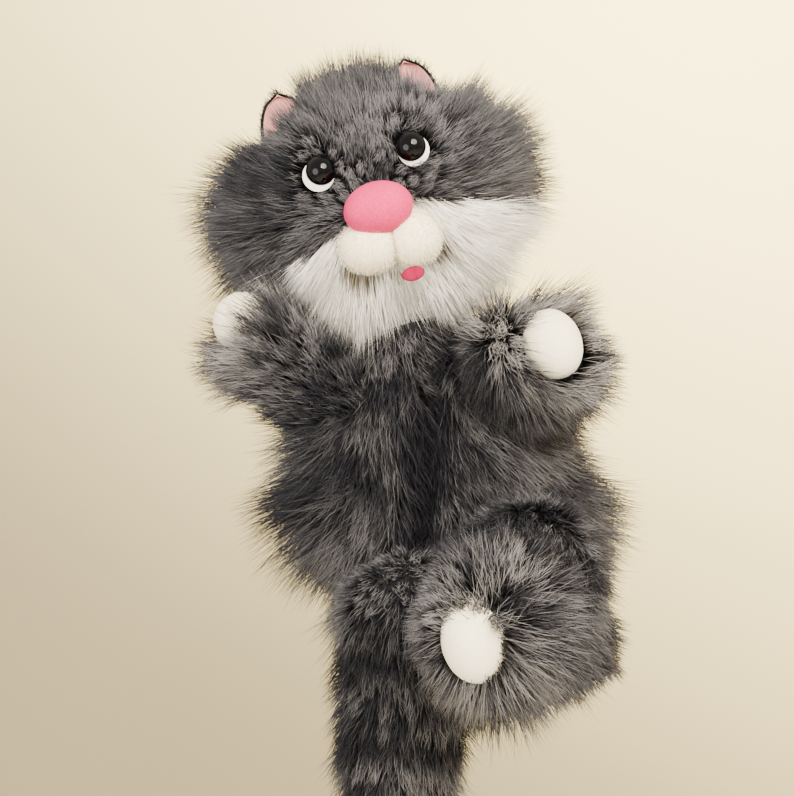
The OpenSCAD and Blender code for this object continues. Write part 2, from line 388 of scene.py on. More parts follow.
def start_material(name: str) -> tuple[bpy.types.Material, Tree, bpy.types.Node]:
    """Starts a material.

    Args:
        name: The material's name.

    Returns:
        The material, its tree and its Principled BSDF.
    """
    made = bpy.data.materials.new(name)
    made.use_nodes = True
    tree = Tree(made.node_tree)
    return made, tree, next(n for n in made.node_tree.nodes if n.type == "BSDF_PRINCIPLED")


def use(tree: Tree, group: bpy.types.NodeTree, **inputs: object) -> bpy.types.Node:
    """Places a shader group in a material's tree."""
    node = tree.tree.nodes.new("ShaderNodeGroup")
    node.node_tree = group
    for key, value in inputs.items():
        tree.put(node, key, value)
    return node


@dataclass(frozen=True)
class PileFinish:
    """Long pile whose strands change colour along their length."""

    name: str
    root: str
    middle: str
    upper: str
    tip: str
    dark_root: str
    dark_middle: str
    dark_tip: str
    warm_upper: str
    warm_tip: str
    dark_share: float
    strand_spread: float
    lock_spread: float
    roughness: float = 0.62
    gloss: float = 0.25

    def material(self, effects: Effects) -> bpy.types.Material:
        """Makes the material.

        Args:
            effects: The shared shader groups.

        Returns:
            The material.
        """
        made, tree, surface = start_material(self.name)
        colour = use(tree, effects.strand, Root=srgb(self.root), Middle=srgb(self.middle), Upper=srgb(self.upper),
                     Tip=srgb(self.tip), Dark_Root=srgb(self.dark_root), Dark_Middle=srgb(self.dark_middle),
                     Dark_Tip=srgb(self.dark_tip), Warm_Upper=srgb(self.warm_upper), Warm_Tip=srgb(self.warm_tip),
                     Dark_Share=self.dark_share, Strand_Spread=self.strand_spread, Lock_Spread=self.lock_spread)
        tree.put(surface, "Base Color", colour.outputs["Colour"])
        rough = tree.math("ADD", tree.math("MULTIPLY", colour.outputs["Rootward"], 0.25), self.roughness - 0.1)
        tree.put(surface, "Roughness", rough)
        tree.put(surface, "Specular IOR Level", self.gloss)
        return made


@dataclass(frozen=True)
class ClothFinish:
    """Felt, fleece, flock, plush or the matted ground of pile: fibres over a soft mottle."""

    name: str
    light: str
    dark: str
    hollow: str
    fibre: float
    pill: float
    depth: float
    patch: float = 14.0
    roughness: float = 0.9
    sheen: float = 0.3
    sheen_tint: str = "ffffff"

    def material(self, effects: Effects) -> bpy.types.Material:
        """Makes the material.

        Args:
            effects: The shared shader groups.

        Returns:
            The material.
        """
        made, tree, surface = start_material(self.name)
        fibres = use(tree, effects.fibres, Fibre_Size=self.fibre * MM, Pill_Size=self.pill * MM)
        mottle = use(tree, effects.mottle, Patch_Size=self.patch * MM, Contrast=1.6)
        ground = tree.mix(mottle.outputs["Mask"], srgb(self.dark), srgb(self.light))
        clear = tree.math("MINIMUM", tree.math("MAXIMUM", fibres.outputs["Mask"], 0.0), 1.0)
        # The gaps between fibres take the hollow colour: painted shade in the fibre hollows.
        tree.put(surface, "Base Color", tree.mix(clear, tree.mix(0.45, ground, srgb(self.hollow)), ground))
        rough = tree.math("SUBTRACT", self.roughness, tree.math("MULTIPLY", mottle.outputs["Mask"], 0.06))
        tree.put(surface, "Roughness", rough)
        bump = tree.add("ShaderNodeBump", {}, Strength=0.8, Distance=self.depth * MM, Height=fibres.outputs["Height"])
        tree.put(surface, "Normal", bump.outputs["Normal"])
        tree.put(surface, "Sheen Weight", self.sheen)
        tree.put(surface, "Sheen Roughness", 0.5)
        tree.put(surface, "Sheen Tint", srgb(self.sheen_tint))
        tree.put(surface, "Specular IOR Level", 0.2)
        return made


@dataclass(frozen=True)
class WovenFinish:
    """Plain woven cotton, slightly rubbed."""

    name: str
    light: str
    dark: str
    thread: float = 0.5
    roughness: float = 0.85

    def material(self, effects: Effects) -> bpy.types.Material:
        """Makes the material.

        Args:
            effects: The shared shader groups.

        Returns:
            The material.
        """
        made, tree, surface = start_material(self.name)
        weave = use(tree, effects.weave, Thread_Size=self.thread * MM)
        mottle = use(tree, effects.mottle, Patch_Size=0.018, Contrast=1.4)
        ground = tree.mix(mottle.outputs["Mask"], srgb(self.dark), srgb(self.light))
        # The low parts of the weave are mixed toward black: painted shade between the threads.
        hollow = tree.mix(0.35, ground, srgb("000000"))
        shaded = tree.mix(tree.math("MULTIPLY", weave.outputs["Height"], 0.5), hollow, ground)
        tree.put(surface, "Base Color", shaded)
        rough = tree.math("SUBTRACT", self.roughness, tree.math("MULTIPLY", mottle.outputs["Mask"], 0.1))
        tree.put(surface, "Roughness", rough)
        bump = tree.add("ShaderNodeBump", {}, Strength=0.6, Distance=0.0002, Height=weave.outputs["Height"])
        tree.put(surface, "Normal", bump.outputs["Normal"])
        tree.put(surface, "Sheen Weight", 0.15)
        return made


@dataclass(frozen=True)
class PolishedFinish:
    """Moulded and polished plastic, with a faint wear in its gloss."""

    name: str
    light: str
    dark: str
    roughness: float
    coat: float = 0.0
    gloss: float = 0.5

    def material(self, effects: Effects) -> bpy.types.Material:
        """Makes the material.

        Args:
            effects: The shared shader groups.

        Returns:
            The material.
        """
        made, tree, surface = start_material(self.name)
        mottle = use(tree, effects.mottle, Patch_Size=0.004, Contrast=1.2)
        tree.put(surface, "Base Color", tree.mix(mottle.outputs["Mask"], srgb(self.dark), srgb(self.light)))
        rough = tree.math("ADD", tree.math("MULTIPLY", mottle.outputs["Mask"], 0.05), self.roughness)
        tree.put(surface, "Roughness", rough)
        tree.put(surface, "Specular IOR Level", self.gloss)
        tree.put(surface, "Coat Weight", self.coat)
        tree.put(surface, "Coat Roughness", 0.03)
        return made


GREY_PILE = PileFinish("grey_pile", root="040406", middle="242426", upper="5e5c5d", tip="1c1c20", dark_root="020203",
                       dark_middle="0b0b11", dark_tip="201f24", warm_upper="807c78", warm_tip="b4ada2",
                       dark_share=0.45, strand_spread=0.9, lock_spread=0.9)
WHITE_PILE = PileFinish("white_pile", root="dcd5c6", middle="f6f0e2", upper="fdf9ee", tip="fffdf6",
                        dark_root="c9c1b1", dark_middle="e9e2d3", dark_tip="f8f3e6", warm_upper="f6efdf",
                        warm_tip="fffbf0", dark_share=0.2, strand_spread=0.7, lock_spread=0.4, roughness=0.7)
FUZZ = PileFinish("fleece_fuzz", root="f8ebc8", middle="fcf1d2", upper="fff6dc", tip="fffae8", dark_root="f0e2be",
                  dark_middle="f6eaca", dark_tip="fdf3d8", warm_upper="fff6dc", warm_tip="fffae8", dark_share=0.3,
                  strand_spread=0.5, lock_spread=0.2, roughness=0.8, gloss=0.1)
GROUND = ClothFinish("pile_ground", "0d0d11", "060609", "020203", fibre=0.7, pill=2.5, depth=0.6, sheen=0.05)
WHITE_GROUND = ClothFinish("white_ground", "e9e2d2", "d6cebd", "b0a896", fibre=0.7, pill=2.5, depth=0.5, sheen=0.1)
FLEECE = ClothFinish("cream_fleece", "fff4d2", "f8ebc8", "d8caa6", fibre=0.5, pill=2.2, depth=0.4, sheen=0.3)
FELT = ClothFinish("cream_felt", "f4e9ca", "e9dcbc", "c8bb9c", fibre=0.55, pill=3.0, depth=0.3, sheen=0.25)
FLOCK = ClothFinish("pink_flock", "d62d66", "c21f56", "760c30", fibre=0.75, pill=1.6, depth=0.5, sheen=0.05,
                    sheen_tint="ffb0c4")
TONGUE_FELT = ClothFinish("red_felt", "8a0034", "7a002a", "54001a", fibre=0.45, pill=1.5, depth=0.2, sheen=0.03,
                          sheen_tint="ff9ab4")
EAR_PLUSH = ClothFinish("pink_plush", "d8938a", "c27c74", "98605e", fibre=0.6, pill=1.6, depth=0.35, sheen=0.3,
                        sheen_tint="ffd6d4")
COTTON = WovenFinish("lining_cotton", "8f8b86", "77736f")
THREAD = WovenFinish("sewing_thread", "d9d2c2", "bdb5a4", thread=0.25)
WADDING = ClothFinish("wadding", "f2f2f0", "e2e2e0", "bcbcba", fibre=0.9, pill=4.0, depth=0.8)
EYE_WHITE = PolishedFinish("eye_white", "f3f0e4", "e8e5d8", roughness=0.22, coat=0.3)
PUPIL = PolishedFinish("pupil_black", "020203", "010102", roughness=0.04, gloss=0.16)


class Palette:
    """Every finish of the puppet as a material, made once."""

    def __init__(self) -> None:
        """Builds the shared effects and an empty store."""
        self.effects = Effects()
        self.made: dict[str, bpy.types.Material] = {}

    def __call__(self, finish: PileFinish | ClothFinish | WovenFinish | PolishedFinish) -> bpy.types.Material:
        """The material of a finish."""
        if finish.name not in self.made:
            self.made[finish.name] = finish.material(self.effects)
        return self.made[finish.name]


# ---------------------------------------------------------------- meshes


def mesh_object(name: str, points: np.ndarray, faces: list[tuple[int, ...]],
                material: bpy.types.Material) -> bpy.types.Object:
    """Makes a smooth mesh object with its normals outward.

    Args:
        name: The piece's name.
        points: Places in millimetres.
        faces: Faces as point numbers.
        material: The finish.

    Returns:
        The object, at the origin.
    """
    mesh = bpy.data.meshes.new(name)
    mesh.from_pydata([tuple(p) for p in points * MM], [], faces)
    work = bmesh.new()
    work.from_mesh(mesh)
    bmesh.ops.remove_doubles(work, verts=work.verts, dist=1e-6)
    bmesh.ops.recalc_face_normals(work, faces=work.faces)
    work.to_mesh(mesh)
    work.free()
    mesh.polygons.foreach_set("use_smooth", [True] * len(mesh.polygons))
    mesh.materials.append(material)
    made = bpy.data.objects.new(name, mesh)
    bpy.context.scene.collection.objects.link(made)
    return made


def tube_faces(rings: int, around: int, first_pole: bool, last_pole: bool) -> list[tuple[int, ...]]:
    """Faces of a tube of rings, with an optional pole point at each end.

    Args:
        rings: Number of rings.
        around: Points in each ring.
        first_pole: True where a point after the rings closes the first ring.
        last_pole: True where a point closes the last ring.

    Returns:
        The faces.
    """
    faces = []
    for i in range(rings - 1):
        for j in range(around):
            k = (j + 1) % around
            faces.append((i * around + j, i * around + k, (i + 1) * around + k, (i + 1) * around + j))
    pole = rings * around
    if first_pole:
        faces += [(pole, (j + 1) % around, j) for j in range(around)]
        pole += 1
    if last_pole:
        start = (rings - 1) * around
        faces += [(pole, start + j, start + (j + 1) % around) for j in range(around)]
    return faces


def smooth_ball(centre: np.ndarray, radii: np.ndarray, level: int, name: str, material: bpy.types.Material,
                shape: Callable[[np.ndarray], np.ndarray] | None = None) -> bpy.types.Object:
    """Makes an evenly faced ball, pushed into shape.

    Args:
        centre: Centre in millimetres.
        radii: Half sizes in millimetres.
        level: Subdivisions of the ball.
        name: The piece's name.
        material: The finish.
        shape: Turns unit directions into places in millimetres about the centre; a plain ellipsoid without it.

    Returns:
        The object.
    """
    work = bmesh.new()
    bmesh.ops.create_icosphere(work, subdivisions=level, radius=1)
    work.verts.ensure_lookup_table()
    directions = np.array([v.co for v in work.verts])
    faces = [tuple(v.index for v in f.verts) for f in work.faces]
    work.free()
    local = shape(directions) if shape else directions * radii
    return mesh_object(name, local + centre, faces, material)


def points_of(piece: bpy.types.Object) -> tuple[np.ndarray, np.ndarray]:
    """Places in millimetres and unit normals of a piece's points."""
    count = len(piece.data.vertices)
    places, normals = np.empty(count * 3), np.empty(count * 3)
    piece.data.vertices.foreach_get("co", places)
    piece.data.vertex_normals.foreach_get("vector", normals)
    return places.reshape(-1, 3) / MM, normals.reshape(-1, 3)


def move_points(piece: bpy.types.Object, places: np.ndarray) -> None:
    """Moves a piece's points to places in millimetres."""
    piece.data.vertices.foreach_set("co", (places * MM).ravel())
    piece.data.update()


def set_values(piece: bpy.types.Object, name: str, values: np.ndarray) -> None:
    """Stores one value or vector for each point of a piece."""
    kind, field_name = ("FLOAT_VECTOR", "vector") if values.ndim == 2 else ("FLOAT", "value")
    piece.data.attributes.new(name, kind, "POINT").data.foreach_set(field_name, values.astype(np.float32).ravel())


def evaluated_copy(host: bpy.types.Object, name: str) -> bpy.types.Object:
    """Turns what a host's modifiers make into a plain piece, and removes the host.

    Args:
        host: The object with the modifiers.
        name: The new piece's name.

    Returns:
        The plain piece.
    """
    graph = bpy.context.evaluated_depsgraph_get()
    mesh = bpy.data.meshes.new_from_object(host.evaluated_get(graph), preserve_all_data_layers=True, depsgraph=graph)
    host.modifiers.clear()
    old = host.data
    bpy.data.objects.remove(host)
    if old.users == 0 and isinstance(old, bpy.types.Mesh):
        bpy.data.meshes.remove(old)
    mesh.name = name
    made = bpy.data.objects.new(name, mesh)
    bpy.context.scene.collection.objects.link(made)
    return made


def add_nodes(piece: bpy.types.Object, tree: bpy.types.NodeTree, values: dict[str, object]) -> None:
    """Gives a piece a Geometry Nodes modifier and sets its inputs by their identifiers."""
    modifier = piece.modifiers.new("make", "NODES")
    modifier.node_group = tree
    for item in tree.interface.items_tree:
        if item.item_type == "SOCKET" and item.in_out == "INPUT" and item.name in values:
            modifier[item.identifier] = values[item.name]


def report(piece: bpy.types.Object) -> None:
    """Logs one finished piece."""
    LOG.info("%s: %d faces", piece.name, len(piece.data.polygons))


def finish_piece(piece: bpy.types.Object, body: Body, nodes: tuple[str, ...] = ()) -> bpy.types.Object:
    """Fixes a piece to its body and hides the frame nodes that it stands for.

    Args:
        piece: The piece.
        body: The body it moves with.
        nodes: Frame nodes it stands for.

    Returns:
        The piece.
    """
    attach(piece, body.value)
    if nodes:
        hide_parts(*nodes)
    report(piece)
    return piece


# ---------------------------------------------------------------- geometry node trees


def pile_tree() -> bpy.types.NodeTree:
    """The tree that stands curved, tapering strands of pile on a skin.

    The skin's points carry comb (unit direction of the laid strand), pile (its length in metres) and
    cover (share of strands that grow there). Sparse lock points gather the strands around them.

    Returns:
        The tree.
    """
    tree = new_group("long_pile", "GeometryNodeTree", [
        ("Skin", "NodeSocketGeometry", None), ("Strands per Area", "NodeSocketFloat", 1e6),
        ("Strand Width", "NodeSocketFloat", 0.00035), ("Lock Spacing", "NodeSocketFloat", 0.004),
        ("Gather", "NodeSocketFloat", 0.4), ("Rise", "NodeSocketFloat", 0.4), ("Scatter", "NodeSocketFloat", 0.2),
        ("Ragged", "NodeSocketFloat", 0.4), ("Seed", "NodeSocketInt", 1), ("Finish", "NodeSocketMaterial", None),
    ], [("Pile", "NodeSocketGeometry")])
    given = tree.add("NodeGroupInput").outputs

    def named(name: str, kind: str = "FLOAT") -> bpy.types.NodeSocket:
        """Reads a named value of the points."""
        return tree.add("GeometryNodeInputNamedAttribute", {"data_type": kind}, Name=name).outputs["Attribute"]

    comb, pile, cover = named("comb", "FLOAT_VECTOR"), named("pile"), named("cover")
    place = tree.add("GeometryNodeInputPosition").outputs[0]
    roots = tree.add("GeometryNodeDistributePointsOnFaces", {"distribute_method": "RANDOM"}, Mesh=given["Skin"],
                     Density=tree.math("MULTIPLY", given["Strands per Area"], cover), Seed=given["Seed"])
    spots = tree.add("GeometryNodeDistributePointsOnFaces", {"distribute_method": "POISSON"}, Mesh=given["Skin"],
                     Distance_Min=given["Lock Spacing"], Density_Max=6e5, Seed=tree.math("ADD", given["Seed"], 7.0))
    reach = tree.vector("SCALE", comb, scale=pile)
    far_end = tree.vector("ADD", place, reach)
    nearest = tree.add("GeometryNodeSampleNearest", {}, Geometry=spots.outputs["Points"]).outputs[0]

    def of_lock(value: bpy.types.NodeSocket, kind: str) -> bpy.types.NodeSocket:
        """Reads a value from the nearest lock point."""
        node = tree.add("GeometryNodeSampleIndex", {"data_type": kind}, Geometry=spots.outputs["Points"],
                        Value=value, Index=nearest)
        return node.outputs["Value"]

    def chance(low: float, high: float, seed: int) -> bpy.types.NodeSocket:
        """A random number for each point."""
        node = tree.tree.nodes.new("FunctionNodeRandomValue")
        node.data_type = "FLOAT"
        for key, value in (("Min_001", low), ("Max_001", high), ("Seed", seed)):
            Tree.socket(node.inputs, key).default_value = value
        return Tree.socket(node.outputs, "Value_001")

    swing = tree.tree.nodes.new("FunctionNodeRandomValue")
    swing.data_type = "FLOAT_VECTOR"
    for key, value in (("Min", (-1, -1, -1)), ("Max", (1, 1, 1)), ("Seed", 11)):
        Tree.socket(swing.inputs, key).default_value = value
    scattered = tree.vector("SCALE", swing.outputs[0], scale=given["Scatter"])
    laid = tree.vector("NORMALIZE", tree.vector("ADD", comb, scattered))
    normal = roots.outputs["Normal"]
    first = tree.vector("NORMALIZE", tree.vector("ADD", laid, tree.vector("SCALE", normal, scale=given["Rise"])))
    lock = of_lock(chance(0.0, 1.0, 9), "FLOAT")
    uneven = tree.math("ADD", 1.0, tree.math("MULTIPLY", tree.math("SUBTRACT", lock, 0.5), given["Ragged"]))
    length = tree.math("MULTIPLY", tree.math("MULTIPLY", pile, chance(0.5, 1.1, 3)), uneven)
    gathered = tree.vector("SCALE", tree.vector("SUBTRACT", of_lock(far_end, "FLOAT_VECTOR"), far_end),
                           scale=given["Gather"])
    bend = tree.vector("ADD", tree.vector("SCALE", tree.vector("SUBTRACT", laid, first), scale=length), gathered)

    flow = roots.outputs["Points"]
    for name, kind, value in (("bend", "FLOAT_VECTOR", bend), ("first", "FLOAT_VECTOR", first),
                              ("shade", "FLOAT", chance(0.0, 1.0, 5)), ("size", "FLOAT", length),
                              ("lock", "FLOAT", lock)):
        flow = tree.add("GeometryNodeStoreNamedAttribute", {"data_type": kind, "domain": "POINT"}, Geometry=flow,
                        Name=name, Value=value).outputs[0]

    strand = tree.add("GeometryNodeMeshCone", {"fill_type": "NGON"}, Vertices=3, Side_Segments=2, Radius_Top=0.0,
                      Radius_Bottom=0.5, Depth=1.0)
    height = tree.add("ShaderNodeSeparateXYZ", {}, Vector=place).outputs["Z"]
    full = tree.math("ADD", 1.0, tree.math("MULTIPLY", height, 1.1))
    wider = tree.add("ShaderNodeCombineXYZ", {}, X=full, Y=full, Z=1.0).outputs[0]
    strand = tree.add("GeometryNodeSetPosition", {}, Geometry=strand.outputs["Mesh"],
                      Position=tree.vector("MULTIPLY", place, wider)).outputs[0]
    strand = tree.add("GeometryNodeStoreNamedAttribute", {"data_type": "FLOAT", "domain": "POINT"}, Geometry=strand,
                      Name="along", Value=height).outputs[0]
    turn = tree.add("FunctionNodeAlignRotationToVector", {"axis": "Z"}, Vector=named("first", "FLOAT_VECTOR"))
    width = tree.math("MULTIPLY", given["Strand Width"], chance(0.7, 1.25, 13))
    scale = tree.add("ShaderNodeCombineXYZ", {}, X=width, Y=width, Z=named("size")).outputs[0]
    stood = tree.add("GeometryNodeInstanceOnPoints", {}, Points=flow, Instance=strand, Rotation=turn.outputs[0],
                     Scale=scale)
    real = tree.add("GeometryNodeRealizeInstances", {}, Geometry=stood.outputs[0])
    along = named("along")
    curve = tree.vector("SCALE", named("bend", "FLOAT_VECTOR"), scale=tree.math("MULTIPLY", along, along))
    laid_down = tree.add("GeometryNodeSetPosition", {}, Geometry=real.outputs[0], Offset=curve)
    flow = laid_down.outputs[0]
    for name in ("bend", "first", "size", "comb", "pile", "cover"):
        flow = tree.add("GeometryNodeRemoveAttribute", {}, Geometry=flow, Name=name).outputs[0]
    smooth = tree.add("GeometryNodeSetShadeSmooth", {}, Geometry=flow)
    dressed = tree.add("GeometryNodeSetMaterial", {}, Geometry=smooth.outputs[0], Material=given["Finish"])
    tree.add("NodeGroupOutput", {}, Pile=dressed.outputs[0])
    return tree.tree


def stitch_tree() -> bpy.types.NodeTree:
    """The tree that lays short thread stitches along a line.

    Returns:
        The tree.
    """
    tree = new_group("stitch_run", "GeometryNodeTree", [
        ("Line", "NodeSocketGeometry", None), ("Pitch", "NodeSocketFloat", 0.003),
        ("Thread Width", "NodeSocketFloat", 0.0006), ("Share", "NodeSocketFloat", 0.7),
        ("Finish", "NodeSocketMaterial", None),
    ], [("Stitches", "NodeSocketGeometry")])
    given = tree.add("NodeGroupInput").outputs
    curve = tree.add("GeometryNodeMeshToCurve", {}, Mesh=given["Line"])
    points = tree.add("GeometryNodeCurveToPoints", {"mode": "LENGTH"}, Curve=curve.outputs[0], Length=given["Pitch"])
    thread = tree.add("GeometryNodeMeshUVSphere", {}, Segments=6, Rings=4, Radius=0.5)
    long_side = tree.math("MULTIPLY", given["Pitch"], given["Share"])
    size = tree.add("ShaderNodeCombineXYZ", {}, X=given["Thread Width"], Y=given["Thread Width"], Z=long_side)
    turn = tree.add("FunctionNodeAlignRotationToVector", {"axis": "Z"}, Vector=points.outputs["Tangent"])
    stood = tree.add("GeometryNodeInstanceOnPoints", {}, Points=points.outputs["Points"],
                     Instance=thread.outputs["Mesh"], Rotation=turn.outputs[0], Scale=size.outputs[0])
    real = tree.add("GeometryNodeRealizeInstances", {}, Geometry=stood.outputs[0])
    smooth = tree.add("GeometryNodeSetShadeSmooth", {}, Geometry=real.outputs[0])
    dressed = tree.add("GeometryNodeSetMaterial", {}, Geometry=smooth.outputs[0], Material=given["Finish"])
    tree.add("NodeGroupOutput", {}, Stitches=dressed.outputs[0])
    return tree.tree


@dataclass(frozen=True)
class Workshop:
    """What every sub-assembly needs: the finishes, the node trees and the room that the puppet has."""

    finish: Palette
    pile: bpy.types.NodeTree
    stitches: bpy.types.NodeTree
    room: tuple[np.ndarray, np.ndarray]

    def stitch(self, name: str, line: np.ndarray, pitch: float, width: float, finish: WovenFinish,
               closed: bool = False, share: float = 0.7) -> bpy.types.Object:
        """Lays stitches along a line.

        Args:
            name: The piece's name.
            line: Places along the line, in millimetres.
            pitch: Distance from stitch to stitch, in millimetres.
            width: Thread width in millimetres.
            finish: The thread's finish.
            closed: True where the line ends where it starts.
            share: Share of the pitch that one stitch covers.

        Returns:
            The stitches as one plain piece.
        """
        mesh = bpy.data.meshes.new(name)
        count = len(line)
        edges = [(i, i + 1) for i in range(count - 1)] + ([(count - 1, 0)] if closed else [])
        mesh.from_pydata([tuple(p) for p in line * MM], edges, [])
        host = bpy.data.objects.new(name, mesh)
        bpy.context.scene.collection.objects.link(host)
        add_nodes(host, self.stitches, {"Pitch": pitch * MM, "Thread Width": width * MM, "Share": share,
                                        "Finish": self.finish(finish)})
        return evaluated_copy(host, name)


@dataclass
class PileCut:
    """One cut of pile fabric: where its strands stand on a skin, how long they are and how they lie."""

    name: str
    strands: int
    finish: PileFinish
    seed: int
    comb: np.ndarray
    length: np.ndarray
    cover: np.ndarray
    tone: np.ndarray
    tint: np.ndarray
    width: float = 0.29
    lock: float = 4.2
    gather: float = 0.5
    rise: float = 0.45
    scatter: float = 0.3
    ragged: float = 0.45

    def build(self, skin: bpy.types.Object, shop: Workshop) -> bpy.types.Object:
        """Grows the pile on a copy of a skin.

        Args:
            skin: The skin whose points the arrays belong to.
            shop: Finishes and node trees.

        Returns:
            The pile as one plain piece.
        """
        host = bpy.data.objects.new(self.name, skin.data.copy())
        bpy.context.scene.collection.objects.link(host)
        comb = unit(self.comb)
        pile = self._trimmed(skin, comb, shop.room) * MM
        for name, values in (("comb", comb), ("pile", pile), ("cover", self.cover), ("tone", self.tone),
                             ("tint", self.tint)):
            set_values(host, name, values)
        add_nodes(host, shop.pile, {
            "Strands per Area": self.strands / self._grown_area(host), "Strand Width": self.width * MM,
            "Lock Spacing": self.lock * MM, "Gather": self.gather, "Rise": self.rise, "Scatter": self.scatter,
            "Ragged": self.ragged, "Seed": self.seed, "Finish": shop.finish(self.finish)})
        grown = evaluated_copy(host, self.name)
        places, _ = points_of(grown)
        move_points(grown, np.clip(places, *shop.room))
        return grown

    def _trimmed(self, skin: bpy.types.Object, comb: np.ndarray, room: tuple[np.ndarray, np.ndarray]) -> np.ndarray:
        """Shortens the pile where it would stand out of the room that the puppet has, as a maker trims it."""
        low, high = room
        places, _ = points_of(skin)
        length = np.maximum(self.length, 1.0)
        for sign, edge in ((1, high), (-1, low)):
            spare = np.maximum((edge - places) * sign, 2.0)
            reach = np.maximum(comb * sign, 0) + 0.08
            length = np.minimum(length, np.min(spare / reach, axis=1))
        return length

    def _grown_area(self, host: bpy.types.Object) -> float:
        """Area in square metres, counted by the share that is covered."""
        return sum(f.area * float(np.mean(self.cover[list(f.vertices)])) for f in host.data.polygons)


def inflate(piece: bpy.types.Object, voxel: float, pressure: float, cap: float) -> bpy.types.Object:
    """Blows a stuffed piece up as cloth, so that its skin is tight, and smooths it.

    Args:
        piece: A closed mesh, slightly smaller than the finished piece.
        voxel: Size of the even remesh, in millimetres.
        pressure: Pressure inside.
        cap: Furthest that a point may move, in millimetres.

    Returns:
        The same object with its new mesh.
    """
    remesh = piece.modifiers.new("even", "REMESH")
    remesh.mode = "VOXEL"
    remesh.voxel_size = voxel * MM
    remesh.use_smooth_shade = True
    material, name = piece.data.materials[0], piece.name
    piece = evaluated_copy(piece, name)
    before, _ = points_of(piece)
    cloth = piece.modifiers.new("stuffing", "CLOTH")
    cloth.settings.use_pressure = True
    cloth.settings.uniform_pressure_force = pressure
    cloth.settings.effector_weights.gravity = 0
    cloth.settings.quality = 5
    cloth.point_cache.frame_start, cloth.point_cache.frame_end = 1, 20
    for moment in range(1, 21):
        bpy.context.scene.frame_set(moment)
    graph = bpy.context.evaluated_depsgraph_get()
    after = np.empty(len(before) * 3)
    piece.evaluated_get(graph).data.vertices.foreach_get("co", after)
    piece.modifiers.clear()
    bpy.context.scene.frame_set(1)
    shift = after.reshape(-1, 3) / MM - before
    far = np.linalg.norm(shift, axis=1, keepdims=True)
    move_points(piece, before + shift * np.minimum(1, cap / np.maximum(far, 1e-6)))
    smooth = piece.modifiers.new("smooth", "SMOOTH")
    smooth.iterations = 3
    rounder = piece.modifiers.new("rounder", "SUBSURF")
    rounder.levels = rounder.render_levels = 1
    piece = evaluated_copy(piece, name)
    piece.data.materials.clear()
    piece.data.materials.append(material)
    piece.data.polygons.foreach_set("use_smooth", [True] * len(piece.data.polygons))
    return piece


# ---------------------------------------------------------------- head


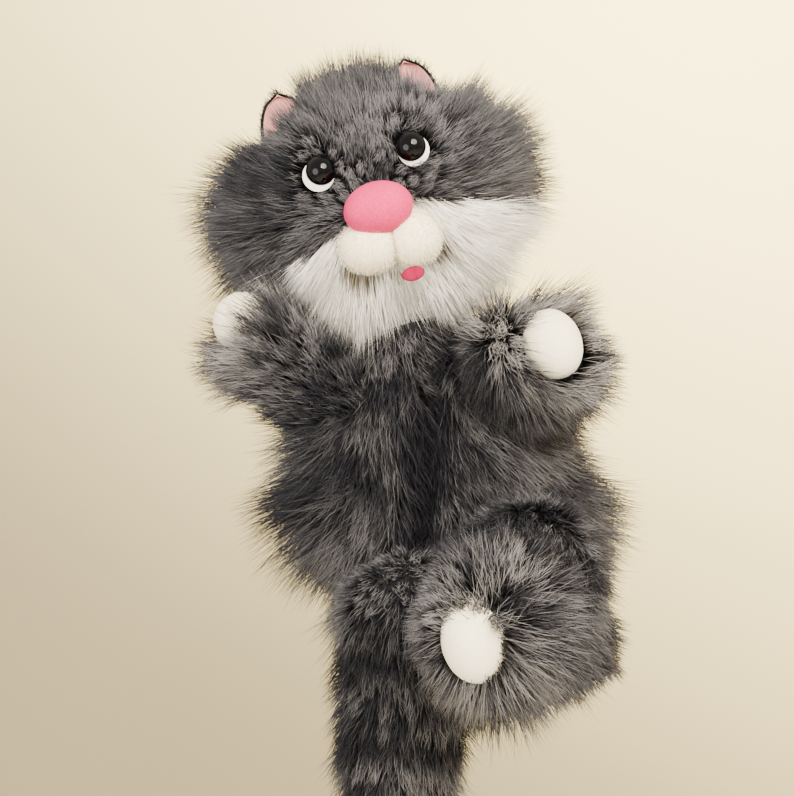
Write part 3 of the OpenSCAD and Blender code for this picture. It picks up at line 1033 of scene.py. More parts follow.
@dataclass
class Head:
    """The stuffed head: its skin, the grey crown, the white beard, ears, eyes, nose and muzzle."""

    shop: Workshop
    border: float = 204.5
    cleft: float = 2.6
    pad_lift: float = 3.6
    centre: np.ndarray = field(init=False)
    radii: np.ndarray = field(init=False)
    nose: np.ndarray = field(init=False)
    eyes: list[np.ndarray] = field(init=False)
    pads: list[np.ndarray] = field(init=False)
    skin: bpy.types.Object = field(init=False)

    def __post_init__(self) -> None:
        """Takes the places of the head's parts from the frame."""
        front, back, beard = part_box("head_crown_panel"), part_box("head_back_panel"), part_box("head_beard_panel")
        low = np.min([b[0] for b in (front, back, beard)], axis=0) / MM
        high = np.max([b[1] for b in (front, back, beard)], axis=0) / MM
        self.centre, self.radii = (low + high) / 2, (high - low) / 2
        self.nose = middle("nose")
        self.eyes = [middle(f"pupil_{side.word}") for side in Side]
        self.pads = [middle(f"muzzle_pad_{side.word}") for side in Side]

    def build(self) -> None:
        """Makes every piece of the head."""
        material = self.shop.finish(GROUND)
        self.skin = smooth_ball(self.centre, self.radii - 0.6, 6, "head_ground", material)
        self._crown()
        self._back()
        self._beard()
        finish_piece(self.skin, Body.HEAD, ("head_crown_panel", "head_back_panel"))
        self._chin_ground()
        self._nose()
        self._muzzle()
        self._tongue()
        for side in Side:
            Ear(self.shop, side, self).build()
        self._eyes()

    def _fields(self) -> tuple[np.ndarray, np.ndarray, np.ndarray, np.ndarray, np.ndarray]:
        """Comb, length and helpers shared by the cuts of the head.

        Returns:
            Places, normals, comb, length and frontness of the skin's points.
        """
        p, n = points_of(self.skin)
        away = p - self.nose
        far = np.linalg.norm(away, axis=1)
        outward = unit(away * [1, 0, 1])
        front = ramp(26, -8, p[:, 1])
        cheek = ramp(22, 50, np.abs(p[:, 0])) * ramp(248, 215, p[:, 2])
        face = outward * 0.95 + n * 0.5 + [0, 0.12, 0] + np.outer(cheek, [0, 0, -0.3])
        behind = unit(np.cross(np.cross(n, [0, 0.25, -1.0]), n)) + n * 0.32
        comb = unit(face) * front[:, None] + unit(behind) * (1 - front)[:, None]
        comb += ripple(p, 24, 3.0) * 0.42 + ripple(p, 8, 9.0) * 0.26
        top = ramp(228, 250, p[:, 2])
        length = 19.5 + 11.5 * cheek - 1.5 * top + ripple(p, 14, 5.0)[:, 0] * 5
        length *= 0.36 + 0.64 * ramp(12, 36, far)
        length = length * front + 15 * (1 - front)
        for eye in self.eyes:
            from_eye = p - eye
            near = np.exp(-((np.linalg.norm(from_eye * [1, 0.6, 1], axis=1) / 13) ** 2)) * front
            aside = unit(unit(from_eye * [1, 0, 1]) + n * 0.6)
            comb = unit(comb) * (1 - 0.8 * near)[:, None] + aside * (0.8 * near)[:, None]
            length *= 1 - 0.58 * near
            over = np.exp(-((from_eye[:, 0] / 9) ** 2) - ((from_eye[:, 2] - 7.5) / 4.5) ** 2) * front
            laid = unit(n * 0.8 + [-0.15 * np.sign(eye[0]), 0, -0.62])
            comb = unit(comb) * (1 - 0.75 * over)[:, None] + laid * (0.75 * over)[:, None]
            length = length * (1 - over) + 11.5 * over
        for side in Side:
            low, high = (np.array(c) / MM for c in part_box(f"ear_{side.word}"))
            ear = np.array([(low[0] + high[0]) / 2, (low[1] + high[1]) / 2, low[2] + 3])
            from_ear = p - ear
            near = np.exp(-((np.linalg.norm(from_ear * [1, 0.55, 0.9], axis=1) / 14.5) ** 4))
            near *= ramp(9, 3, from_ear[:, 1])
            aside = unit(unit(from_ear * [1, 0.3, 1]) + n * 0.12)
            comb = unit(comb) * (1 - 0.9 * near)[:, None] + aside * (0.9 * near)[:, None]
            length *= 1 - 0.66 * near
        return p, n, unit(comb), length, front

    def _eye_room(self, p: np.ndarray) -> np.ndarray:
        """1 where strands may stand, falling to 0 under the eyes, the nose and the muzzle."""
        room = np.ones(len(p))
        for eye in self.eyes:
            flat = np.linalg.norm((p - eye - [np.sign(eye[0]) * 0.6, 0, -1.6]) * [1, 0, 1], axis=1)
            room *= np.where(p[:, 1] < 0, ramp(5.6, 6.8, flat), 1)
        flat = np.linalg.norm((p - self.nose) * [0.8, 0, 1], axis=1)
        room *= np.where(p[:, 1] < 0, ramp(6.5, 8.5, flat), 1)
        for pad in self.pads:
            flat = np.linalg.norm((p - pad - [self.cleft - 0.5, 0, self.pad_lift]) * [1, 0, 1], axis=1)
            room *= np.where(p[:, 1] < 0, ramp(6.5, 9.0, flat), 1)
        return room

    def _white(self, p: np.ndarray) -> np.ndarray:
        """1 below the seam between the grey crown and the white beard."""
        seam = self.border - 0.15 * np.maximum(np.abs(p[:, 0]) - 14, 0) + ripple(p, 7, 21.0)[:, 2] * 2.2
        seam -= 4.5 * ramp(4, -12, p[:, 0])
        return ramp(1.2, -1.2, p[:, 2] - seam) * ramp(14, 8, p[:, 1])

    def _crown(self) -> None:
        """The grey pile of the face and the crown, in two halves."""
        p, _, comb, length, _ = self._fields()
        grey = self._eye_room(p) * (1 - self._white(p)) * ramp(12, 4, p[:, 1])
        patch = ripple(p, 26, 13.0)[:, 1] * 0.75
        brow = np.exp(-(((p[:, 2] - 243) / 10) ** 2)) * 0.12
        cheek_light = ramp(20, 52, np.abs(p[:, 0])) * ramp(190, 215, p[:, 2]) * 0.12
        around_eyes = sum(np.exp(-((np.linalg.norm(p - e - [0, 0, 4], axis=1) / 12) ** 2)) for e in self.eyes)
        fall = ramp(-18, -42, p[:, 0]) * 0.24
        tone = patch + brow + cheek_light + 0.17 - fall - 0.4 * around_eyes
        for side in Side:
            cover = grey * ramp(-0.5, 0.5, p[:, 0] * side.value)
            pile = PileCut(f"crown_pile_{side.word}", 16300, GREY_PILE, 31 + side.value, comb, length, cover, tone,
                           np.full(len(p), 0.05), width=0.36, lock=4.6, gather=0.62, scatter=0.26, ragged=0.6)
            finish_piece(pile.build(self.skin, self.shop), Body.HEAD, ("head_crown_panel",))

    def _back(self) -> None:
        """The grey pile behind the ears, in two halves."""
        p, _, comb, length, _ = self._fields()
        grey = (1 - self._white(p)) * ramp(4, 12, p[:, 1])
        tone = ripple(p, 26, 15.0)[:, 1] * 0.6 - 0.08
        for side in Side:
            cover = grey * ramp(-0.5, 0.5, p[:, 0] * side.value)
            pile = PileCut(f"back_head_pile_{side.word}", 6500, GREY_PILE, 41 + side.value, comb, length, cover, tone,
                           np.full(len(p), 0.05), lock=4.5, width=0.46)
            finish_piece(pile.build(self.skin, self.shop), Body.HEAD, ("head_back_panel",))

    def _beard(self) -> None:
        """The white pile round the muzzle."""
        p, n, _, _, _ = self._fields()
        mouth = np.mean(self.pads, axis=0) + [self.cleft, 0, 4 + self.pad_lift]
        aside = np.clip(np.abs(p[:, 0]) / 42, 0, 1) ** 0.8 * (0.55 + 0.45 * ramp(175, 200, p[:, 2])) * math.radians(80)
        fall = np.stack([np.sin(aside) * np.sign(p[:, 0]), np.zeros(len(p)), -np.cos(aside)], axis=1)
        comb = fall * 0.9 + n * 0.42 + ripple(p, 18, 4.0) * 0.25 + ripple(p, 6, 14.0) * 0.15
        wide = ramp(14, 46, np.abs(p[:, 0]))
        chin = ramp(192, 174, p[:, 2]) * (1 - wide)
        length = 22.5 + 3 * wide + 8.5 * chin + ripple(p, 9, 6.0)[:, 1] * 5
        length *= 0.5 + 0.5 * ramp(8, 20, np.linalg.norm((p - mouth) * [1, 0, 1], axis=1))
        cover = self._eye_room(p) * self._white(p)
        pile = PileCut("beard_pile", 16200, WHITE_PILE, 57, unit(comb), length, cover, ripple(p, 16, 8.0)[:, 0] * 0.2,
                       np.zeros(len(p)), width=0.36, lock=3.2, gather=0.45, scatter=0.2, ragged=0.35)
        finish_piece(pile.build(self.skin, self.shop), Body.HEAD, ("head_beard_panel",))

    def _chin_ground(self) -> None:
        """The white matted ground under the beard, a thin shell over the head's skin."""
        shell = self.skin.data.copy()
        work = bmesh.new()
        work.from_mesh(shell)
        p, _ = points_of(self.skin)
        white = self._white(p)
        work.verts.ensure_lookup_table()
        # The lowest 5.5 mm of the head is left bare, so the dark head ground shows there as painted shade under the
        # chin.
        under = self.centre[2] - self.radii[2] + 5.5
        bare = [v for v in work.verts if white[v.index] < 0.5 or v.co.z < under * MM]
        bmesh.ops.delete(work, geom=bare, context="VERTS")
        bmesh.ops.solidify(work, geom=list(work.faces), thickness=-0.5 * MM)
        bmesh.ops.recalc_face_normals(work, faces=work.faces)
        work.to_mesh(shell)
        work.free()
        piece = bpy.data.objects.new("beard_ground", shell)
        bpy.context.scene.collection.objects.link(piece)
        shell.materials.clear()
        shell.materials.append(self.shop.finish(WHITE_GROUND))
        finish_piece(piece, Body.HEAD)

    def _nose(self) -> None:
        """The flocked nose, a stuffed bean that is flatter on top."""
        size = half_size("nose")
        radii = np.array([size[0], size[2], size[2]])
        low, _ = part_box("nose")
        centre = np.array([self.nose[0], low[1] / MM + size[2] - 1.5, self.nose[2]])

        def bean(d: np.ndarray) -> np.ndarray:
            """Fuller at the sides and slightly narrower below."""
            bulge = 1 + 0.05 * d[:, :1] ** 2 - 0.05 * np.maximum(-d[:, 2:3], 0)
            return d * radii * bulge * [0.99, 0.95, 1.02]

        piece = smooth_ball(centre, radii, 5, "nose_flock", self.shop.finish(FLOCK), bean)
        finish_piece(piece, Body.HEAD, ("nose",))

    def _muzzle(self) -> None:
        """Two stuffed fleece pads that meet in a cleft, each with its wadding and its fuzz."""
        for side, pad in zip(Side, self.pads, strict=True):
            word, sign = side.word, side.value
            radius = half_size(f"muzzle_pad_{word}")[2]
            wide, gap, lift = (1.0, 0.76, 4.4) if side is Side.RIGHT else (0.90, 0.64, 2.6)

            def cheek(d: np.ndarray, sign: int = sign, radius: float = radius, wide: float = wide,
                      gap: float = gap) -> np.ndarray:
                """A round pad, flat against its twin and pulled in along the cleft."""
                local = d * radius * [wide, 0.92, 0.88]
                inward = -sign * local[:, 0]
                limit = radius * gap
                local[:, 0] = -sign * np.where(inward > limit, limit + (inward - limit) * 0.12, inward)
                return local

            low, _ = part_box(f"muzzle_pad_{word}")
            centre = np.array([sign * radius * gap + self.cleft, low[1] / MM + radius + 1.8, pad[2] + lift])
            wadding = smooth_ball(centre, np.full(3, radius), 4, f"muzzle_stuffing_{word}", self.shop.finish(WADDING),
                                  lambda d, cheek=cheek: cheek(d) * 0.84)
            finish_piece(wadding, Body.HEAD, (f"muzzle_wadding_{word}",))
            name = f"muzzle_pad_fleece_{word}"
            piece = smooth_ball(centre, np.full(3, radius), 4, name, self.shop.finish(FLEECE), cheek)
            piece = inflate(piece, 1.6, 3.0, 1.0)
            p, n = points_of(piece)
            count = len(p)
            lay = n + [0, 0, -0.3] + ripple(p, 4, 3.0) * 0.5
            fuzz = PileCut(f"muzzle_fuzz_{word}", 2000, FUZZ, 23 + sign, lay, np.full(count, 2.2),
                           ramp(6, 0, n[:, 1] * 10), np.zeros(count), np.zeros(count), width=0.16, lock=1.5,
                           gather=0.2, scatter=0.5)
            finish_piece(fuzz.build(piece, self.shop), Body.HEAD, (f"muzzle_pad_{word}",))
            finish_piece(piece, Body.HEAD, (f"muzzle_pad_{word}",))

    def _tongue(self) -> None:
        """The small felt tongue, a rounded tab that is cupped along its middle."""
        centre, size = middle("tongue"), half_size("tongue")

        def tab(d: np.ndarray) -> np.ndarray:
            """A flat rounded tab with a groove."""
            local = d * [size[0] * 0.92, 1.6, size[2] * 0.68]
            local[:, 1] += np.exp(-((d[:, 0] / 0.25) ** 2)) * 0.8 - 0.9 * np.maximum(-d[:, 2], 0)
            return local

        piece = smooth_ball(centre + [1.6, 0.6, 1.3], size, 4, "tongue_felt", self.shop.finish(TONGUE_FELT), tab)
        finish_piece(piece, Body.HEAD, ("tongue",))

    def _eyes(self) -> None:
        """Dresses the eye whites that the frame brings and sets a domed black pupil on each."""
        for side, eye in zip(Side, self.eyes, strict=True):
            for node in (f"eye_white_{side.word}", f"eye_stem_{side.word}"):
                dress(node, self.shop.finish(EYE_WHITE))
            low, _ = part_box(f"pupil_{side.word}")
            centre = np.array([eye[0] + 0.4, low[1] / MM + 6.0, eye[2] - 0.9])
            bead = smooth_ball(centre, np.array([5.9, 5.2, 5.9]), 5, f"pupil_bead_{side.word}", self.shop.finish(PUPIL))
            finish_piece(bead, Body.HEAD, (f"pupil_{side.word}",))


def dress(node: str, material: bpy.types.Material) -> None:
    """Gives a frame node a finish through its own material slots."""
    item = bpy.data.objects[node]
    if not item.material_slots:
        item.data.materials.append(material)
    for place in item.material_slots:
        place.material = material


@dataclass
class Ear:
    """One ear: a cupped furry back with short pile and a pink plush lining."""

    shop: Workshop
    side: Side
    head: Head
    rows: int = 14
    columns: int = 21

    def build(self) -> None:
        """Makes the ear's shell, its pile and its lining."""
        word, sign = self.side.word, self.side.value
        low, high = (np.array(c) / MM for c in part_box(f"ear_{word}"))
        base = np.array([(low[0] + high[0]) / 2 - 2.0 * sign, (low[1] + high[1]) / 2, low[2]])
        size = np.array([(high[0] - low[0]) / 2, (high[1] - low[1]) / 2, high[2] - low[2]])
        shell = self._leaf(base, size, 0.0)
        piece = self._slab(f"ear_ground_{word}", shell, 1.6, self.shop.finish(GROUND))
        p, n = points_of(piece)
        up = ramp(base[2], high[2], p[:, 2])
        comb = unit(n * 0.5 + [0.2 * sign, 0.35, 0.75])
        rim = 3.5 + 2.0 * up
        back = ramp(0.0, 0.5, n[:, 1] + 0.15)
        pile = PileCut(f"ear_pile_{word}", 1500, GREY_PILE, 61 + sign, comb, rim, back, np.full(len(p), 0.15),
                       np.full(len(p), 0.45), width=0.3, lock=2.4, gather=0.35, rise=0.3)
        finish_piece(pile.build(piece, self.shop), Body.HEAD, (f"ear_{word}",))
        finish_piece(piece, Body.HEAD, (f"ear_{word}",))
        lining = self._leaf(base + [0, -1.3, 0.4], size * [0.86, 0.9, 0.93], -0.3)
        piece = self._slab(f"ear_plush_{word}", lining, 0.9, self.shop.finish(EAR_PLUSH))
        finish_piece(piece, Body.HEAD, (f"ear_lining_{word}",))

    def _leaf(self, base: np.ndarray, size: np.ndarray, push: float) -> np.ndarray:
        """A cupped leaf outline.

        Args:
            base: Middle of the leaf's lower edge.
            size: Half width, half depth and height.
            push: Forward shift.

        Returns:
            Rows of places from the base to the tip.
        """
        rows = []
        for i in range(self.rows):
            v = i / (self.rows - 1)
            half = size[0] * (1 - v ** 2.6) ** 0.55
            u = np.linspace(-1, 1, self.columns)
            x = u * half
            y = -size[1] * (u ** 2) * (0.75 - 0.35 * v) + size[1] * (0.35 - 0.4 * v) + push
            z = np.full_like(u, v * size[2]) - 1.4 * (u ** 2) * v
            rows.append(np.stack([base[0] + x, base[1] + y, base[2] + z], axis=1))
        return np.array(rows)

    def _slab(self, name: str, rows: np.ndarray, thick: float, material: bpy.types.Material) -> bpy.types.Object:
        """Turns a leaf into a closed slab with rounded edges."""
        count, across = rows.shape[:2]
        back = rows + [0, thick, 0]
        points = np.concatenate([rows.reshape(-1, 3), back.reshape(-1, 3)])
        other = count * across
        faces = []
        for i in range(count - 1):
            for j in range(across - 1):
                a, b, c, d = i * across + j, i * across + j + 1, (i + 1) * across + j + 1, (i + 1) * across + j
                faces += [(a, b, c, d), (a + other, d + other, c + other, b + other)]
        rim = (list(range(across)) + [i * across + across - 1 for i in range(1, count)]
               + [(count - 1) * across + j for j in range(across - 2, -1, -1)]
               + [i * across for i in range(count - 2, 0, -1)])
        for a, b in zip(rim, rim[1:] + rim[:1], strict=True):
            faces.append((a, a + other, b + other, b))
        piece = mesh_object(name, points, faces, material)
        rounded = piece.modifiers.new("round", "SUBSURF")
        rounded.levels = rounded.render_levels = 1
        return evaluated_copy(piece, name)


# ---------------------------------------------------------------- glove


@dataclass
class Glove:
    """The glove: its skin, front and back pile, collar, hem and lining."""

    shop: Workshop
    profile: tuple[tuple[float, float], ...] = (
        (0.0, 0.962), (0.14, 0.985), (0.28, 1.0), (0.42, 0.985), (0.56, 0.962), (0.67, 0.905), (0.77, 0.846),
        (0.85, 0.765), (0.91, 0.692), (0.96, 0.61), (1.0, 0.55), (1.04, 0.50), (1.08, 0.465), (1.115, 0.43),
        (1.135, 0.40))
    around: int = 100
    rings: int = 56
    height: float = 140.0
    puff: float = 12.0
    half: np.ndarray = field(init=False)
    skin: bpy.types.Object = field(init=False)

    def __post_init__(self) -> None:
        """Takes the glove's half width and depth from the frame."""
        front, back = half_size("body_front_panel"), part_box("body_back_panel")
        self.half = np.array([front[0], back[1][1] / MM])

    def rim(self, height: float, inset: float) -> np.ndarray:
        """The glove's outline at a height.

        Args:
            height: Height in millimetres.
            inset: How far inside the outer face.

        Returns:
            The outline's places.
        """
        share = np.interp(height / self.height, *zip(*self.profile, strict=True))
        angle = np.linspace(0, 2 * math.pi, self.around, endpoint=False)
        x = (self.half[0] * share - inset) * np.cos(angle)
        y = (self.half[1] * share - inset) * np.sin(angle)
        return np.stack([x, y, np.full_like(x, height)], axis=1)

    def crease(self, p: np.ndarray) -> np.ndarray:
        """Nearness to the deep fold that falls from the neck past the middle of the front, 0 to 1."""
        start, stop = np.array([13.0, 156.0]), np.array([-23.0, 66.0])
        flat = p[:, [0, 2]]
        way = stop - start
        t = np.clip(((flat - start) @ way) / (way @ way), 0, 1)
        gap = np.linalg.norm(flat - (start + np.outer(t, way)), axis=1)
        return np.exp(-((gap / (4.6 + 1.6 * t)) ** 2)) * (p[:, 1] < 8)

    def fold(self, p: np.ndarray) -> np.ndarray:
        """How far the cloth is pulled in at the crease and at the slimmer lower left, in millimetres."""
        slim = ramp(10, 40, p[:, 0]) * ramp(64, 30, p[:, 2])
        return self.crease(p) * 8.0 + slim * 5.0

    def stripes(self, p: np.ndarray) -> np.ndarray:
        """The dark bands that cross the glove's cloth, 0 to 1: the two higher bands, under the chin and under the arm,
        are painted shadow, and the two lower ones are stripes in the fur.
        """
        dark = np.zeros(len(p))
        bend = ripple(p, 30, 17.0)[:, 0] * 5
        # The bands at 139 and 111 mm are painted shadow; those at 66 and 30 mm are stripes in the fur.
        for height, slope, width in ((139.0, 0.15, 6.0), (111.0, 0.42, 6.5), (66.0, 0.30, 5.0), (30.0, -0.35, 8.0)):
            gap = p[:, 2] - (height + slope * (p[:, 0] + 30)) + bend
            dark = np.maximum(dark, np.exp(-((gap / width) ** 2)))
        return dark

    def build(self) -> None:
        """Makes every piece of the glove."""
        heights = np.linspace(0.6, self.height * self.profile[-1][0], self.rings)
        points = np.concatenate([self.rim(h, 0.6) for h in heights])
        outward = unit(points * [1, 1.4, 0])
        flank = ramp(-20, -46, points[:, 0]) * ramp(70, 100, points[:, 2]) * ramp(140, 122, points[:, 2])
        bands = self.stripes(points) * 1.6 * (points[:, 2] > 12)
        points = points + outward * (flank * self.puff - self.fold(points) - bands)[:, None]
        faces = tube_faces(self.rings, self.around, False, False)
        self.skin = mesh_object("glove_ground", points, faces, self.shop.finish(GROUND))
        self._orient_out(self.skin)
        self._pile()
        wall = self.skin.modifiers.new("cloth", "SOLIDIFY")
        wall.thickness, wall.offset = 1.6 * MM, -1
        piece = evaluated_copy(self.skin, "glove_ground")
        finish_piece(piece, Body.GLOVE, ("body_front_panel", "body_back_panel", "neck_collar"))
        self._lining()
        self._hem()
        self._hips()

    @staticmethod
    def _orient_out(piece: bpy.types.Object) -> None:
        """Turns an open tube's faces away from the middle."""
        p, n = points_of(piece)
        if float(np.sum(p[:, :2] * n[:, :2])) < 0:
            piece.data.flip_normals()

    def _pile(self) -> None:
        """The pile of the glove's front and back, each in two halves."""
        p, n = points_of(self.skin)
        crease, dark = self.crease(p), self.stripes(p)
        side = ramp(18, 50, np.abs(p[:, 0]))
        front = ramp(14, -14, p[:, 1])
        flank = ramp(-18, -44, p[:, 0]) * ramp(66, 94, p[:, 2]) * ramp(162, 144, p[:, 2])
        slim = ramp(8, 36, p[:, 0]) * ramp(72, 34, p[:, 2])
        low = ramp(26, 8, p[:, 2])
        down = np.array([0, 0, -1.0])
        spread = np.stack([p[:, 0] / 50 * 0.5, np.zeros(len(p)), np.zeros(len(p))], axis=1) * (1 - slim)[:, None]
        swirl = ripple(p, 34, 2.0) * 0.42 + ripple(p, 11, 7.0) * 0.28
        lift = 0.36 + 0.4 * side * front + 0.9 * flank - 0.2 * slim
        comb = down * 0.85 + spread + n * lift[:, None] + swirl * [1, 0.5, 1]
        behind = down * 0.95 + n * (0.26 + 0.2 * side + 0.9 * flank - 0.1 * slim)[:, None] + swirl * 0.4
        comb = np.where((front < 0.5)[:, None], behind, comb)
        top = ramp(116, 142, p[:, 2]) * front
        comb = unit(comb) * (1 - top)[:, None] + unit(n * 0.8 + down * 0.8 + swirl * 0.5) * top[:, None]
        length = 21.5 + 3 * side * front + 8 * flank + ripple(p, 18, 12.0)[:, 2] * 5
        length *= np.where(front > 0.5, 1, 0.85 + 0.15 * flank) * (1 - 0.1 * top)
        length *= (1 - 0.42 * slim) * (1 - 0.4 * low)
        # Painted light: the right of the front, below the arm, is made lighter to make up for the arm's shadow.
        right = ramp(2, 20, p[:, 0]) * ramp(132, 110, p[:, 2])
        # Painted shade: the crease is darkened and its pile thinned by keep, so the dark ground shows in the fold; the
        # higher stripe bands add painted shadow under the chin and the arm.
        tone = ripple(p, 28, 19.0)[:, 1] * 0.75 - 0.65 * dark - 2.2 * crease + 0.02 + 0.36 * right
        keep = 1 - 0.8 * crease * ramp(150, 136, p[:, 2])
        for name, strands, mask, width in (
                ("front", 15300, ramp(3, -3, p[:, 1]), 0.36), ("back", 5700, ramp(-3, 3, p[:, 1]), 0.5)):
            for half in Side:
                cover = mask * keep * ramp(-0.5, 0.5, p[:, 0] * half.value)
                pile = PileCut(f"glove_pile_{name}_{half.word}", strands, GREY_PILE, 71 + half.value, comb, length,
                               cover, tone, np.full(len(p), 0.15), width=width, lock=5.2, gather=0.62, ragged=0.55)
                finish_piece(pile.build(self.skin, self.shop), Body.GLOVE, (f"body_{name}_panel",))

    def _lining(self) -> None:
        """The cotton lining, a little slack inside the glove."""
        rings = 32
        heights = np.linspace(1.5, self.height * 0.985, rings)
        points = np.concatenate([self.rim(h, 4.2) for h in heights])
        slack = np.maximum(ripple(points, 16, 31.0)[:, 0] * 0.6, 0) + self.fold(points)
        points -= unit(points * [1, 1.4, 0]) * slack[:, None]
        faces = tube_faces(rings, self.around, False, False)
        piece = mesh_object("lining_cotton", points, faces, self.shop.finish(COTTON))
        self._orient_out(piece)
        wall = piece.modifiers.new("cloth", "SOLIDIFY")
        wall.thickness, wall.offset = 0.7 * MM, -1
        piece = evaluated_copy(piece, "lining_cotton")
        finish_piece(piece, Body.GLOVE, ("lining_front", "lining_back"))

    def _hem(self) -> None:
        """The hem: the cloth folded round the opening and stitched to the lining."""
        low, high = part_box("cuff_hem_front")
        top = high[2] / MM
        outline = [(0.9, 8.0), (0.2, 4.0), (0.1, 1.0), (1.0, 0.1), (2.4, 0.1), (3.6, 0.9), (4.3, 3.0), (4.6, 6.0),
                   (4.7, top - 0.4), (4.2, top), (3.6, top - 0.6), (3.2, 6.0), (1.9, 8.4)]
        rings = [self.rim(h, inset) for inset, h in outline]
        points = np.concatenate(rings)
        points[:, 2] = np.concatenate([np.full(self.around, h) for _, h in outline])
        points += ripple(points, 9, 41.0) * 0.18 - unit(points * [1, 1.4, 0]) * self.fold(points)[:, None]
        faces = tube_faces(len(outline), self.around, False, False)
        last = (len(outline) - 1) * self.around
        faces += [(last + j, last + (j + 1) % self.around, (j + 1) % self.around, j) for j in range(self.around)]
        piece = mesh_object("hem_fold", points, faces, self.shop.finish(GROUND))
        finish_piece(piece, Body.GLOVE, ("cuff_hem_front", "cuff_hem_back"))
        p, n = points_of(piece)
        outer = ramp(0.0, 0.6, np.sum(n * unit(p * [1, 1.4, 0]), axis=1)) * ramp(9, 7, p[:, 2])
        lay = n * 0.5 + [0, 0, -0.7] + ripple(p, 9, 3.0) * 0.3
        pile = PileCut("hem_pile", 1800, GREY_PILE, 77, lay, np.full(len(p), 8.0), outer,
                       ripple(p, 20, 5.0)[:, 0] * 0.4, np.full(len(p), 0.1), width=0.36)
        finish_piece(pile.build(piece, self.shop), Body.GLOVE, ("cuff_hem_front", "cuff_hem_back"))
        line = self.rim(top - 1.8, 5.0)
        line[:, 2] = top - 1.8
        line -= unit(line * [1, 1.4, 0]) * self.fold(line)[:, None]
        stitches = self.shop.stitch("hem_stitches", line, 4.0, 0.7, THREAD, closed=True)
        finish_piece(stitches, Body.GLOVE)

    def _hips(self) -> None:
        """The gathered cloth where each leg is sewn to the glove."""
        for side in Side:
            centre, size = middle(f"hip_seam_{side.word}"), half_size(f"hip_seam_{side.word}")

            def gathered(d: np.ndarray, size: np.ndarray = size) -> np.ndarray:
                """A ball with nine soft gathers round it."""
                return d * size * (1 + 0.06 * np.sin(9 * np.arctan2(d[:, 2:3], d[:, :1]))) * [1.0, 1.15, 1.0]

            name = f"hip_gather_{side.word}"
            piece = smooth_ball(centre, size, 4, name, self.shop.finish(GROUND), gathered)
            p, n = points_of(piece)
            lay = n * 0.95 + [0, -0.3, -0.6] + ripple(p, 9, 4.0) * 0.3
            # The hip pile is toned darker (-0.25): painted shade where the leg meets the glove.
            pile = PileCut(f"hip_pile_{side.word}", 1500, GREY_PILE, 79 + side.value, lay, np.full(len(p), 14.0),
                           ramp(0.4, -0.2, n[:, 1]), np.full(len(p), -0.25), np.full(len(p), 0.05))
            finish_piece(pile.build(piece, self.shop), Body.GLOVE, (f"hip_seam_{side.word}",))
            finish_piece(piece, Body.GLOVE, (f"hip_seam_{side.word}",))


# ---------------------------------------------------------------- limbs


def joint_place(name: str) -> np.ndarray:
    """Where a joint of the record turns, in millimetres."""
    joints = frame["record"]["behaviour"]["joints"]
    return np.array(next(j for j in joints if j["name"] == name)["pos_m"]) / MM


def across(way: np.ndarray) -> tuple[np.ndarray, np.ndarray]:
    """Two unit directions square to a direction, the first as level as it can be."""
    first = unit(np.cross(way, [0, 0, 1.0]))
    return first, unit(np.cross(first, way))


@dataclass
class Limb:
    """A sewn tube of pile cloth along a straight line, from a rounded root."""

    shop: Workshop
    name: str
    root: np.ndarray
    way: np.ndarray
    line: tuple[tuple[float, float], ...]
    around: int = 64

    def skin(self) -> bpy.types.Object:
        """Makes the limb's skin from its side line of (distance, radius)."""
        first, second = across(self.way)
        angle = np.linspace(0, 2 * math.pi, self.around, endpoint=False)
        ring = np.outer(np.cos(angle), first) + np.outer(np.sin(angle), second)
        inner = self.line[1:-1]
        points = [self.root + self.way * d + ring * r for d, r in inner]
        ends = np.array([self.root + self.way * self.line[0][0], self.root + self.way * self.line[-1][0]])
        faces = tube_faces(len(inner), self.around, True, True)
        return mesh_object(self.name, np.concatenate([*points, ends]), faces, self.shop.finish(GROUND))

    def along(self, p: np.ndarray) -> np.ndarray:
        """Distance of points along the limb from its root."""
        return (p - self.root) @ self.way


def side_line(keys: tuple[tuple[float, float], ...], step: float) -> tuple[tuple[float, float], ...]:
    """Fills a limb's side line in with even steps.

    Args:
        keys: Distance and radius at the corners, both ends with radius 0.
        step: Longest step along the line, in millimetres.

    Returns:
        The finer line.
    """
    fine = [keys[0]]
    for (d0, r0), (d1, r1) in zip(keys, keys[1:], strict=False):
        count = max(1, round(math.hypot(d1 - d0, r1 - r0) / step))
        fine += [(d0 + (d1 - d0) * k / count, r0 + (r1 - r0) * k / count) for k in range(1, count + 1)]
    return tuple(fine)


def round_end(radius: float, centre: float, sign: int, steps: int = 9) -> list[tuple[float, float]]:
    """A quarter circle of a side line from its pole, sign -1 for a root and 1 for an end."""
    arc = [(centre + sign * radius * math.cos(a), radius * math.sin(a)) for a in np.linspace(0, math.pi / 2, steps)]
    return arc if sign < 0 else arc[::-1]


